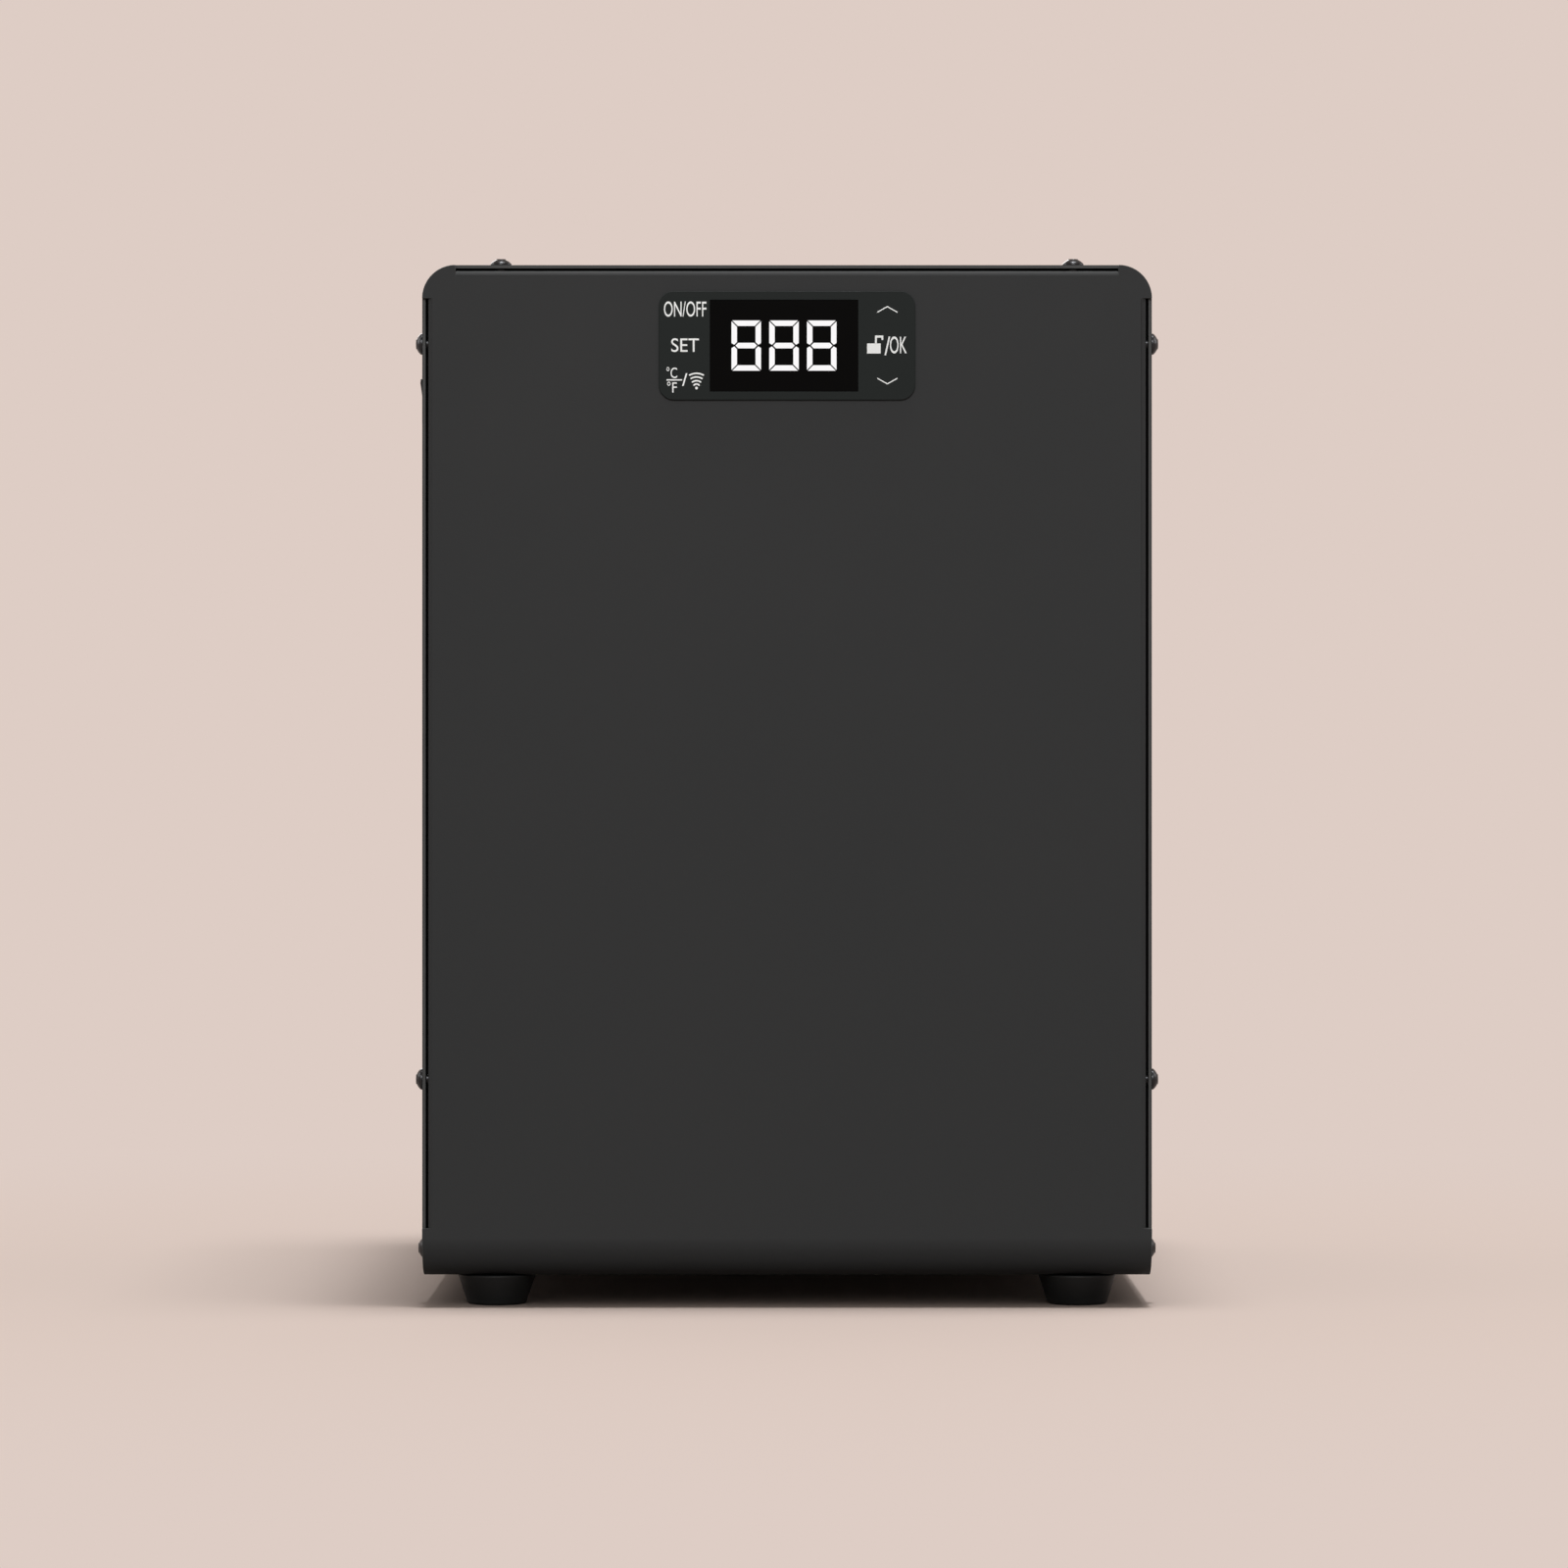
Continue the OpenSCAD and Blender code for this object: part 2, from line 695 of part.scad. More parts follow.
board_hole_x = board_w / 2 - 5;
board_hole_z = board_h / 2 - 5;
board_places = [for (sx = [-1, 1], sz = [-1, 1]) [sx * board_hole_x, board_z + sz * board_hole_z]];
module control_board() color(board_green) from_front() {
    back = board_front + board_t;
    difference() {
        upright(board_front, board_t) translate([0, board_z]) square([board_w, board_h], center = true);
        for (p = board_places) rod_y([p[0], board_front - 1, p[1]], small_thread_r + pin_fit, board_t + 2);
    }
    for (c = control_chips) translate([c[0] - c[2] / 2, back, board_z + c[1] - c[3] / 2])
        cube([c[2], c[4], c[3]]);
    rod_y([beeper[0], back, board_z + beeper[1]], beeper[2], beeper[3]);
}
// Processor, two cable sockets and four drivers, as [x, z, width, height, thickness]
control_chips = [
    [0, 4, 12, 12, 1.8], [-22, -13, 16, 6, 5.4], [29, -13, 14, 6, 5.4],
    [-34.5, 7, 3, 6, 1.2], [-28.5, 7, 3, 6, 1.2], [-22.5, 7, 3, 6, 1.2], [-16.5, 7, 3, 6, 1.2]
];
// Beeper as [x, z, radius, height]
beeper = [28, 8, 5, 6];

// Hollow spacers under both boards
module board_standoffs() color(brass) from_front() {
    for (p = board_places) translate([p[0], sheet_t, p[1]]) rotate([-90, 0, 0])
        standoff(board_front - sheet_t);
    for (p = power_places) translate([p[0], p[1], base_top]) standoff(standoff_h);
}
module standoff(len) difference() {
    cylinder(r = 3, h = len, $fn = 6);
    translate([0, 0, -1]) cylinder(r = small_thread_r + pin_fit, h = len + 2);
}

module small_screws() color(steel) from_front() {
    for (p = board_places) translate([p[0], board_front + board_t, p[1]]) rotate([-90, 0, 0]) pan_screw(7);
    for (p = power_places) translate([p[0], p[1], power_top]) pan_screw(7);
    for (sx = [-1, 1]) translate([inlet_x + sx * inlet_screw_x, body_d + inlet_flange_t, inlet_z])
        rotate([-90, 0, 0]) pan_screw(6);
    for (x = leaf_screw_xs) translate([x, hinge_y + leaf_screw_y, top_z + leaf_t]) pan_screw(4);
    for (p = fan_places) translate([p[0], fan_wall_y + duct_wall, p[1]]) rotate([-90, 0, 0]) pan_screw(8);
}

// ---- Power switch, in the left side ----

module switch_frame() translate([switch_face, switch_back, switch_z]) children();

pivot_in = 2;
rocker_len = switch_len - 2.4;
rocker_nose = 1.4;
rocker_nose_drop = 0.22;
rocker_half_w = switch_wid / 2 - 1.75;
pocket_half_w = rocker_half_w + 0.25;
trunnion_r = 0.9;
trunnion_half = pocket_half_w + 0.4;
module switch_housing() color(soft_black) from_front() switch_frame() difference() {
    union() {
        sideways(-bezel_proud, bezel_proud) round_rect(switch_wid, switch_len, 1);
        sideways(0, switch_body_d) square([switch_body_wid, switch_body_len], center = true);
    }
    sideways(-bezel_proud - 1, bezel_proud + 8.5)
        square([2 * pocket_half_w, rocker_len + 0.7], center = true);
    rod_y([pivot_in, -trunnion_half - pin_fit, 0], trunnion_r + pin_fit, 2 * (trunnion_half + pin_fit));
}

// Two-faced rocker, stored with its upper end out
module switch_rocker() color(gloss_black) from_front() switch_frame()
    translate([pivot_in, 0, 0]) rotate([0, -rocker_throw / 2, 0]) {
        mid = pivot_in + bezel_proud - 0.1;
        crest = rocker_len / 2 - rocker_nose;
        end = mid + crest * tan(rocker_throw / 2);
        tip = end - rocker_nose_drop;
        translate([0, rocker_half_w, 0]) rotate([90, 0, 0]) linear_extrude(2 * rocker_half_w) polygon([
            [-mid, 0], [-end, crest], [-tip, rocker_len / 2], [0, rocker_len / 2 - 0.6], [3, 3],
            [3, -3], [0, -rocker_len / 2 + 0.6], [-tip, -rocker_len / 2], [-end, -crest]
        ]);
        rod_y([0, -trunnion_half, 0], trunnion_r, 2 * trunnion_half);
    }

// ---- Mains side ----

inlet_flange_t = 3;
socket_w = 24.4;
socket_h = 16.6;
socket_d = 16;
socket_z = inlet_z + 7;
pin_len = 11;
socket_floor = body_d + inlet_flange_t - socket_d;
fuse_z = inlet_z - 11;
fuse_w = 21;
fuse_h = 7;
fuse_d = 20;
module mains_inlet() color(soft_black) from_front() difference() {
    union() {
        upright(body_d, inlet_flange_t) translate([inlet_x, inlet_z]) round_rect(inlet_w, inlet_h, 5);
        upright(body_d - inlet_body_d, inlet_body_d) translate([inlet_x, inlet_z])
            square([inlet_body_w, inlet_body_h], center = true);
    }
    upright(socket_floor, socket_d + 1) translate([inlet_x, socket_z]) socket_outline();
    upright(body_d + inlet_flange_t - fuse_d, fuse_d + 1) translate([inlet_x, fuse_z])
        square([fuse_w + slip, fuse_h + slip], center = true);
    for (sx = [-1, 1])
        rod_y([inlet_x + sx * inlet_screw_x, body_d - 1, inlet_z], small_thread_r + pin_fit, 10);
    for (x = [-7:7:7]) translate([inlet_x + x - 1, body_d - inlet_body_d - 1, socket_z + pin_rise(x) - 2])
        cube([2, inlet_body_d, 4]);
}
module socket_outline() polygon([
    [-socket_w / 2, -socket_h / 2], [socket_w / 2, -socket_h / 2], [socket_w / 2, socket_h / 2 - 5],
    [socket_w / 2 - 5, socket_h / 2], [-socket_w / 2 + 5, socket_h / 2], [-socket_w / 2, socket_h / 2 - 5]
]);
function pin_rise(x) = x == 0 ? 2 : -2;
module inlet_pins() color(brass) from_front() for (x = [-7:7:7])
    translate([inlet_x + x - 1, body_d - inlet_body_d - 7, socket_z + pin_rise(x) - 2])
        cube([2, socket_floor + pin_len - (body_d - inlet_body_d - 7), 4]);

// Fuse holder that slides out below the socket
module fuse_drawer() color(gloss_black) from_front() {
    translate([inlet_x - fuse_w / 2, body_d + inlet_flange_t - fuse_d + slip, fuse_z - fuse_h / 2])
        difference() {
            cube([fuse_w, fuse_d - slip, fuse_h]);
            translate([2, 4, 2]) cube([fuse_w - 4, 7, fuse_h]);
            translate([fuse_w / 2 - 4, fuse_d - slip - 1, fuse_h - 1.6]) cube([8, 2, 3]);
        }
}

power_places = [
    for (sx = [-1, 1], y = [power_front + 5, power_front + power_l - 5])
        [power_x + sx * (power_w / 2 - 5), y]
];
module power_board() color(board_green) from_front() difference() {
    translate([power_x - power_w / 2, power_front, power_z]) cube([power_w, power_l, board_t]);
    for (p = power_places) rod_z([p[0], p[1], power_z - 1], small_thread_r + pin_fit, board_t + 2);
}

// Bobbin plate, winding, the core's two limbs and its bridge, as [x, y, z, width, depth, height]
transformer_blocks = [
    [0, 0, 0, 30, 22, 3], [0, 0, 3, 20, 18, 18], [-12, 0, 3, 6, 26, 18], [12, 0, 3, 6, 26, 18],
    [0, 0, 21, 30, 26, 4]
];
module power_transformer() color([0.75, 0.6, 0.1]) from_front()
    translate([power_x - 4, power_front + 52, power_top]) blocks(transformer_blocks);

module blocks(list) for (b = list)
    translate([b[0] - b[3] / 2, b[1] - b[4] / 2, b[2]]) cube([b[3], b[4], b[5]]);

module power_parts() color([0.2, 0.3, 0.5]) from_front() translate([power_x, power_front, power_top]) {
    blocks(power_blocks);
    for (x = capacitor_xs) rod_z([x, capacitor_y, 0], capacitor_r, capacitor_h);
}
// Relay, heat sink and its fins, mains and switch terminals, signal socket and filter
power_blocks = [
    [11.5, 19.75, 0, 19, 15.5, 15.8], [19.8, 54, 0, 11.6, 24, 2], [14.7, 54, 0, 1.4, 24, 20],
    [18.1, 54, 0, 1.4, 24, 20], [21.5, 54, 0, 1.4, 24, 20], [24.9, 54, 0, 1.4, 24, 20],
    [-11, power_l - 5.5, 0, 16, 11, 12], [-10, 4.5, 0, 14, 9, 11], [10, 3, 0, 12, 6, 8],
    [19, 79, 0, 10, 14, 11]
];
capacitor_xs = [-14, 4];
capacitor_y = 80;
capacitor_r = 8;
capacitor_h = 24;

// Threaded earth point on the base, with its nuts
stud_r = 2;
stud_h = 14;
stud_nut_r = 4;
stud_nut_h = 3;
module earth_stud() color(brass) from_front() translate([inlet_x + 22, tub_rear - 30, base_top]) {
    cylinder(r = stud_r, h = stud_h);
    for (z = [0, 2 * stud_nut_h]) translate([0, 0, z]) difference() {
        cylinder(r = stud_nut_r, h = stud_nut_h, $fn = 6);
        translate([0, 0, -1]) cylinder(r = stud_r, h = stud_nut_h + 2);
    }
}

// ---- Leads held inside the cabinet ----

// Smooth curve through points, with steps pieces between neighbours
function spline_point(a, b, c, d, t) = 0.5 * (2 * b + (c - a) * t
    + (2 * a - 5 * b + 4 * c - d) * t * t + (3 * b - a - 3 * c + d) * t * t * t);
function curve(pts, steps) = [
    for (i = [0:len(pts) - 2], k = [0:steps - 1]) spline_point(
        pts[max(i - 1, 0)], pts[i], pts[i + 1], pts[min(i + 2, len(pts) - 1)], k / steps),
    pts[len(pts) - 1]
];
function unit(v) = v / norm(v);

// Round tube with eight sides along a curve
lead_sides = 8;
module lead(pts, r, steps) {
    path = curve(pts, steps);
    last = len(path) - 1;
    side = [0.83, 0.41, 0.37];
    ring = [for (i = [0:last]) let (
        t = unit(path[min(i + 1, last)] - path[max(i - 1, 0)]),
        u = unit(cross(t, side)),
        v = cross(t, u)
    ) for (k = [0:lead_sides - 1]) path[i] + r * (cos(k * 45) * u + sin(k * 45) * v)];
    polyhedron(ring, concat(
        [[for (k = [0:lead_sides - 1]) k]],
        [[for (k = [lead_sides - 1:-1:0]) last * lead_sides + k]],
        [for (i = [0:last - 1], k = [0:lead_sides - 1]) let (
            n = (k + 1) % lead_sides,
            near = i * lead_sides,
            far = near + lead_sides
        ) each [[near + k, far + k, far + n], [near + k, far + n, near + n]]]
    ));
}

mains_points = [
    [-80, 234.7, 69], [-80, 222, 69], [-81, 208, 58], [-90, 192, 34], [-91, 176, 27], [-91, 172, 27],
    [-91, 168.2, 27]
];
switch_points = [
    [-90, 59.8, 27], [-90, 56, 27], [-90, 46, 28], [-92, 30, 40], [-94, 24, 70], [-95, 23, 140],
    [-95, 23, 220], [-95, 23, 280], [-97, 25, 297], [-103, 26, 300], [-106.8, 26, 300]
];
heater_points = [
    [-60, 139, 33.1], [-60, 139, 36], [-59, 139, 50], [-57, 139, 62], [-54.5, 139, 65],
    [-51.4, 139, 65]
];
cable_points = [
    [-22, 24.2, 299.5], [-22, 27, 299.5], [-22, 29.4, 296], [-26, 28.5, 270], [-44, 24, 220],
    [-64, 23, 140], [-70, 24, 70], [-70, 34, 36], [-70, 50, 26], [-70, 56, 25], [-70, 59.8, 25]
];
module mains_leads() color([0.12, 0.12, 0.12]) from_front() lead(mains_points, 2.5, 3);
module switch_leads() color([0.45, 0.06, 0.05]) from_front() lead(switch_points, 1.8, 3);
module heater_fan_leads() color([0.7, 0.7, 0.66]) from_front() lead(heater_points, 1.5, 3);
module board_cable() color([0.5, 0.5, 0.52]) from_front() lead(cable_points, 1.5, 3);

// ---- Chamber ----

module tub_outline(inset) translate([0, tub_mid])
    round_rect(2 * (tub_x - inset), tub_rear - tub_front - 2 * inset, tub_r - inset);

// Floor, front and sides in one bent and welded sheet, open behind for the rear wall
air_slot_w = 3;
air_slot_pitch = 8;
air_slot_x = 36;
bead_slot_pitch = 9;
rear_wall_x = tub_x - tub_r;
module chamber_tub() color(aluminium) from_front() difference() {
    level(tub_z, tub_top - tub_z) tub_outline(0);
    level(floor_z, tub_top) tub_outline(tub_t);
    upright(tub_rear - 2 * tub_t, 4 * tub_t)
        translate([-rear_wall_x, floor_z]) square([2 * rear_wall_x, tub_top]);
    level(tub_z - 1, tub_t + 2) {
        for (x = [-air_slot_x:air_slot_pitch:air_slot_x]) {
            translate([x, (duct_front + heater_front) / 2]) rotate(90)
                slot(heater_front - duct_front - 14, air_slot_w);
            translate([x, (fan_wall_y + duct_rear) / 2]) rotate(90)
                slot(duct_rear - fan_wall_y - 8, air_slot_w);
        }
        for (i = [-2:2]) translate([drawer_x + i * bead_slot_pitch, (drawer_front + tub_rear) / 2 - 4])
            rotate(90) slot(tub_rear - drawer_front - 24, air_slot_w);
    }
}

// Sheet welded into the back of the chamber, with the vent and the outlets' holes
module chamber_rear_wall() color(aluminium) from_front() upright(tub_rear - tub_t, tub_t) difference() {
    translate([-rear_wall_x, floor_z]) square([2 * rear_wall_x, tub_top - floor_z]);
    for (x = [-outlet_x, 0, outlet_x]) translate([x, outlet_z]) circle(outlet_r + 0.1);
    translate([0, vent_z]) slot_row(vent_count, vent_pitch, vent_slot_w, vent_slot_l);
}

// Columns that carry the chamber on the base
post_r = 4;
module tub_posts() color(steel) from_front()
    for (sx = [-1, 1], y = [tub_front + post_r + 4, tub_rear - post_r - 4])
        rod_z([sx * (tub_x - post_r - 1), y, base_top], post_r, tub_z - base_top);

slab_low = tub_z + 4;
slab_h = tub_top - 2 - slab_low;
module insulation_slabs() color(foam_grey) from_front() {
    long = tub_rear - tub_front - 2 * tub_r;
    for (x = [-tub_x - insulation_t, tub_x])
        translate([x, tub_front + tub_r, slab_low]) cube([insulation_t, long, slab_h]);
    translate([-tub_x + tub_r, tub_front - insulation_t, slab_low])
        cube([2 * (tub_x - tub_r), insulation_t, slab_h]);
    difference() {
        translate([-tub_x + tub_r, tub_rear, slab_low])
            cube([2 * (tub_x - tub_r), min(insulation_t, rear_void - 5), slab_h]);
        upright(tub_rear - 1, rear_void) {
            for (x = [-outlet_x, 0, outlet_x]) translate([x, outlet_z]) circle(outlet_r + 1);
            translate([0, vent_z]) square([vent_count * vent_pitch, vent_slot_l + 4], center = true);
        }
    }
}

// Moulded frame between the chamber and the cover, with the lid's seat
module chamber_rim() color(soft_black) from_front() difference() {
    union() {
        level(tub_top, rim_h) difference() {
            tub_outline(tub_x - (body_w / 2 - cover_bend_r));
            mouth_outline(seat_w);
        }
        level(tub_top, rim_h - rim_step) difference() {
            tub_outline(-1);
            mouth_outline(seat_w);
        }
        level(tub_top, ledge_t) difference() {
            tub_outline(-1);
            mouth_outline(0);
        }
        for (sx = [-1, 1]) translate([sx * magnet_x - lug_w / 2, mouth_front - eps, tub_top])
            cube([lug_w, lug_w, ledge_t + gasket_t - 0.3]);
    }
    for (sx = [-1, 1]) rod_z([sx * magnet_x, magnet_y, lug_top - magnet_t], magnet_d / 2, magnet_t + 1);
}
rim_step = 3;
lug_top = tub_top + ledge_t + gasket_t - 0.3;

module mouth_outline(grow) translate([0, (mouth_front + mouth_rear) / 2])
    round_rect(2 * (mouth_x + grow), mouth_rear - mouth_front + 2 * grow, 1 + grow);

module lid_gasket() color(foam_grey) from_front() level(tub_top + ledge_t, gasket_t - 0.1) difference() {
    mouth_outline(seat_w - 0.6);
    mouth_outline(0.6);
}

module lid_magnets() color(steel) from_front() for (sx = [-1, 1])
    rod_z([sx * magnet_x, magnet_y, lug_top - magnet_t], magnet_d / 2, magnet_t);

// ---- Rollers ----

axle_ys = [tub_mid - axle_spread / 2, tub_mid + axle_spread / 2];
bracket_half = 8;

// Upright blocks at the chamber's sides that hold the axles
module axle_brackets() color(soft_black) from_front() for (sx = [-1, 1], y = axle_ys) difference() {
    translate([0, y, 0]) sideways(sx > 0 ? tub_inner_x - bracket_t : -tub_inner_x, bracket_t) {
        translate([-bracket_half, floor_z]) square([2 * bracket_half, axle_rise]);
        translate([0, axle_z]) circle(bracket_half);
    }
    rod_x([-tub_x, y, axle_z], axle_r + pin_fit, 2 * tub_x);
}

module roller_axles() color(steel) from_front() for (y = axle_ys)
    rod_x([-axle_half, y, axle_z], axle_r, 2 * axle_half);

// Sleeves that keep the rollers apart
module axle_spacers() color([0.9, 0.9, 0.88]) from_front() for (y = axle_ys) {
    for (s = [-1, 1]) {
        spacer(s * roller_pitch / 2, y, roller_gap - 0.6);
        spacer(s * (roller_run / 2 - roller_gap / 4), y, roller_gap / 2 - 0.6);
    }
}
module spacer(x, y, len) difference() {
    rod_x([x - len / 2, y, axle_z], axle_r + 2.5, len);
    rod_x([x - len, y, axle_z], axle_r + pin_fit, 2 * len);
}

// Free-turning roller; i counts along X, row is 0 in front and 1 behind
roller_chamfer = 1;
module roller(i, row) color([0.25, 0.25, 0.26]) from_front()
    translate([i * roller_pitch, axle_ys[row], axle_z]) rotate([0, 90, 0])
        rotate_extrude() roller_profile();
module roller_profile() {
    r = roller_d / 2;
    half = roller_len / 2;
    inner = axle_r + 2 * pin_fit - 0.04;
    difference() {
        polygon([
            [inner, -half], [r - roller_chamfer, -half], [r, -half + roller_chamfer],
            [r, half - roller_chamfer], [r - roller_chamfer, half], [inner, half]
        ]);
        for (x = [-half / 3, half / 3]) translate([r - 0.8, x - 1]) square([2, 2]);
    }
}
module spool_roller_1() roller(-1, 0);
module spool_roller_2() roller(0, 0);
module spool_roller_3() roller(1, 0);
module spool_roller_4() roller(-1, 1);
module spool_roller_5() roller(0, 1);
module spool_roller_6() roller(1, 1);

// Capped sensor on the chamber's front wall
module humidity_sensor() color([0.9, 0.9, 0.9]) from_front()
    translate([-70, tub_front + tub_t, floor_z + 70])
    difference() {
        translate([-sensor_w / 2, 0, -sensor_h / 2]) cube([sensor_w, sensor_d, sensor_h]);
        for (i = [-3:3]) translate([-sensor_w / 2 + 3, sensor_d - 2, i * 3 - 0.6])
            cube([sensor_w - 6, 3, 1.2]);
    }
sensor_w = 16;
sensor_h = 28;
sensor_d = 7;

// ---- Air heater under the chamber ----

fan_places = [
    for (sx = [-1, 1], sz = [-1, 1]) [sx * fan_hole_pitch / 2, fan_z + sz * fan_hole_pitch / 2]
];
motor_r = fan_hub_r - 2;
motor_t = 4;
module fan_frame() color(soft_black) from_front() {
    difference() {
        translate([-fan_size / 2, fan_front, fan_z - fan_size / 2]) cube([fan_size, fan_d, fan_size]);
        rod_y([0, fan_front - 1, fan_z], fan_r, fan_d + 2);
        for (p = fan_places) rod_y([p[0], fan_front - 1, p[1]], small_thread_r + pin_fit, fan_d + 2);
    }
    difference() {
        union() {
            rod_y([0, fan_wall_y - motor_t, fan_z], motor_r, motor_t);
            intersection() {
                rod_y([0, fan_wall_y - motor_t, fan_z], fan_r + 1, motor_t);
                for (a = [45, 135]) translate([0, 0, fan_z]) rotate([0, a, 0])
                    translate([-fan_size, fan_wall_y - motor_t, -2]) cube([2 * fan_size, motor_t - 1, 4]);
            }
        }
        rod_y([0, fan_wall_y - motor_t - 1, fan_z], fan_shaft_r + pin_fit, motor_t);
    }
}
fan_shaft_r = 1.5;
rotor_inset = 1.5;
blade_chord = 24;
blade_t = 1.4;
blade_angle = 42;

module fan_rotor() color(gloss_black) from_front() translate([0, fan_front, fan_z]) {
    rotor_d = fan_d - motor_t - rotor_inset - 1;
    tip_r = fan_r - 1;
    rod_y([0, rotor_inset, 0], fan_hub_r, rotor_d);
    rod_y([0, rotor_inset + rotor_d - eps, 0], fan_shaft_r, 3.5);
    intersection() {
        rotate([-90, 0, 0]) difference() {
            cylinder(r = tip_r, h = fan_d);
            translate([0, 0, -1]) cylinder(r = fan_hub_r - 0.5, h = fan_d + 2);
        }
        for (i = [0:blade_count - 1]) rotate([0, i * 360 / blade_count, 0])
            translate([0, rotor_inset + rotor_d / 2, 0]) rotate([0, 0, blade_angle])
                translate([-blade_chord / 2, -blade_t / 2, 0]) cube([blade_chord, blade_t, fan_size]);
    }
}

// Finned heater block
fin_pitch = 3.6;
fin_t = 0.6;
heater_tube_h = 3;
module ptc_heater() color(aluminium) from_front()
    translate([-heater_w / 2, heater_front, fan_z - heater_h / 2]) {
        for (i = [0:3]) translate([0, 0, i * (heater_h - heater_tube_h) / 3])
            cube([heater_w, heater_d, heater_tube_h]);
        for (x = [0:fin_pitch:heater_w - fin_t]) translate([x, 0.5, 0])
            cube([fin_t, heater_d - 1, heater_h]);
    }

module heater_duct() color(steel) from_front() {
    difference() {
        translate([-duct_x, duct_front, duct_z]) cube([2 * duct_x, duct_len, tub_z - duct_z]);
        translate([-duct_x + duct_wall, duct_front + duct_wall, duct_z + duct_wall])
            cube([2 * (duct_x - duct_wall), duct_len - 2 * duct_wall, tub_z]);
    }
    difference() {
        duct_wall_plate(fan_wall_y);
        rod_y([0, fan_wall_y - 1, fan_z], fan_r, duct_wall + 2);
        for (p = fan_places) rod_y([p[0], fan_wall_y - 1, p[1]], small_thread_r + pin_fit, duct_wall + 2);
    }
    difference() {
        duct_wall_plate(heater_wall_y);
        upright(heater_wall_y - 1, duct_wall + 2) translate([0, fan_z])
            square([heater_w - 8, heater_h - 8], center = true);
    }
}
module duct_wall_plate(y) translate([-duct_x + duct_wall / 2, y, duct_z + duct_wall / 2])
    cube([2 * duct_x - duct_wall, duct_wall, tub_z - duct_z - duct_wall / 2]);

// Disc thermostat on the duct's left side
module thermal_cutout() color([0.15, 0.12, 0.1]) from_front()
    translate([-duct_x, heater_front + heater_d / 2, fan_z]) mirror([1, 0, 0]) {
        rod_x([0, 0, 0], 8, 1.2);
        rod_x([1.2 - eps, 0, 0], 6, 4);
    }

// ---- Vent shutter and desiccant drawer ----

module vent_shutter() color(sheet_black) from_front() {
    upright(body_d + sheet_fit, sheet_t) translate([0, vent_z]) difference() {
        round_rect(shutter_w, shutter_h, 3);
        slot_row(vent_count, vent_pitch, vent_slot_w, vent_slot_l);
        for (sx = [-1, 1]) translate([sx * shutter_screw_x - vent_travel / 2, 0])
            slot(button_thread_d + screw_fit + vent_travel, button_thread_d + screw_fit);
    }
    translate([shutter_w / 2 - sheet_t, body_d + sheet_fit, vent_z - 9]) cube([sheet_t, 7, 18]);
}

module drawer_sleeve() color(steel) from_front() {
    half = drawer_w / 2 + slip;
    low = drawer_z - slip;
    start = drawer_front - 1;
    difference() {
        translate([drawer_x - half - sleeve_t, start - sleeve_t, low - sleeve_t])
            cube([2 * (half + sleeve_t), body_d - sheet_t - start + sleeve_t, tub_z - low + sleeve_t]);
        translate([drawer_x - half, start, low]) cube([2 * half, body_d, tub_z]);
    }
}

module desiccant_drawer() color(sheet_black) from_front() {
    difference() {
        translate([drawer_x - drawer_w / 2, drawer_front, drawer_z])
            cube([drawer_w, drawer_d + sheet_fit + eps, drawer_h]);
        translate([drawer_x - drawer_w / 2, drawer_front, drawer_z] + drawer_wall * [1, 1, 1])
            cube([drawer_w - 2 * drawer_wall, drawer_d - 2 * drawer_wall, drawer_h]);
    }
    upright(body_d + sheet_fit, drawer_flange_t) translate([drawer_x, drawer_z + drawer_h / 2])
        round_rect(drawer_w + 2 * (slip + drawer_flange), drawer_h + 2 * (slip + drawer_flange), 3);
    handle_start = body_d + sheet_fit + drawer_flange_t - eps;
    translate([drawer_x - handle_w / 2, handle_start, drawer_z + drawer_h - 14]) {
        cube([handle_w, handle_d, 2]);
        translate([0, handle_d - handle_t, -4]) cube([handle_w, handle_t, 4 + eps]);
    }
}
handle_w = 28;
handle_d = 4.6;
handle_t = 1.6;

bed_h = 40;
bed_fit = 0.2;
module desiccant_bed() color([0.85, 0.45, 0.12]) from_front()
    translate([drawer_x, drawer_front + drawer_d / 2, drawer_z + drawer_wall + bed_h / 2]) cube([
        drawer_w - 2 * (drawer_wall + bed_fit), drawer_d - 2 * (drawer_wall + bed_fit), bed_h
    ], center = true);

// ---- Lid ----

window_front = lid_front + lid_front_bar;
window_rear = lid_rear - lid_bar;
module window_outline(grow) translate([0, (window_front + window_rear) / 2])
    round_rect(2 * (lid_x - lid_bar + grow), window_rear - window_front + 2 * grow, 4 + grow);

module pull_outline(inset) translate([0, pull_y])
    round_rect(pull_w + 2 * (pull_wall - inset), pull_d + 2 * (pull_wall - inset), 4 - inset);

module lid_frame() color(sheet_black) from_front() difference() {
    level(lid_z, lid_t) translate([0, (lid_front + lid_rear) / 2])
        round_rect(2 * lid_x, lid_len, opening_r - lid_gap);
    level(lid_z - 1, lid_t + 2) window_outline(0);
    level(lid_z - 1, lid_window_t + 1) window_outline(window_lip);
    level(lid_z - 1, lid_t + 2) pull_outline(-sheet_fit);
    for (sx = [-1, 1]) rod_z([sx * magnet_x, magnet_y, lid_z - 1], strike_r + sheet_fit, strike_t + 1);
    for (x = leaf_screw_xs)
        rod_z([x, hinge_y - leaf_screw_y, lid_z - 1], small_thread_r + pin_fit, lid_t + 2);
}
strike_r = 4;

module lid_window() color([0.1, 0.1, 0.11, 0.6]) from_front()
    level(lid_z, lid_window_t) window_outline(window_lip - sheet_fit);

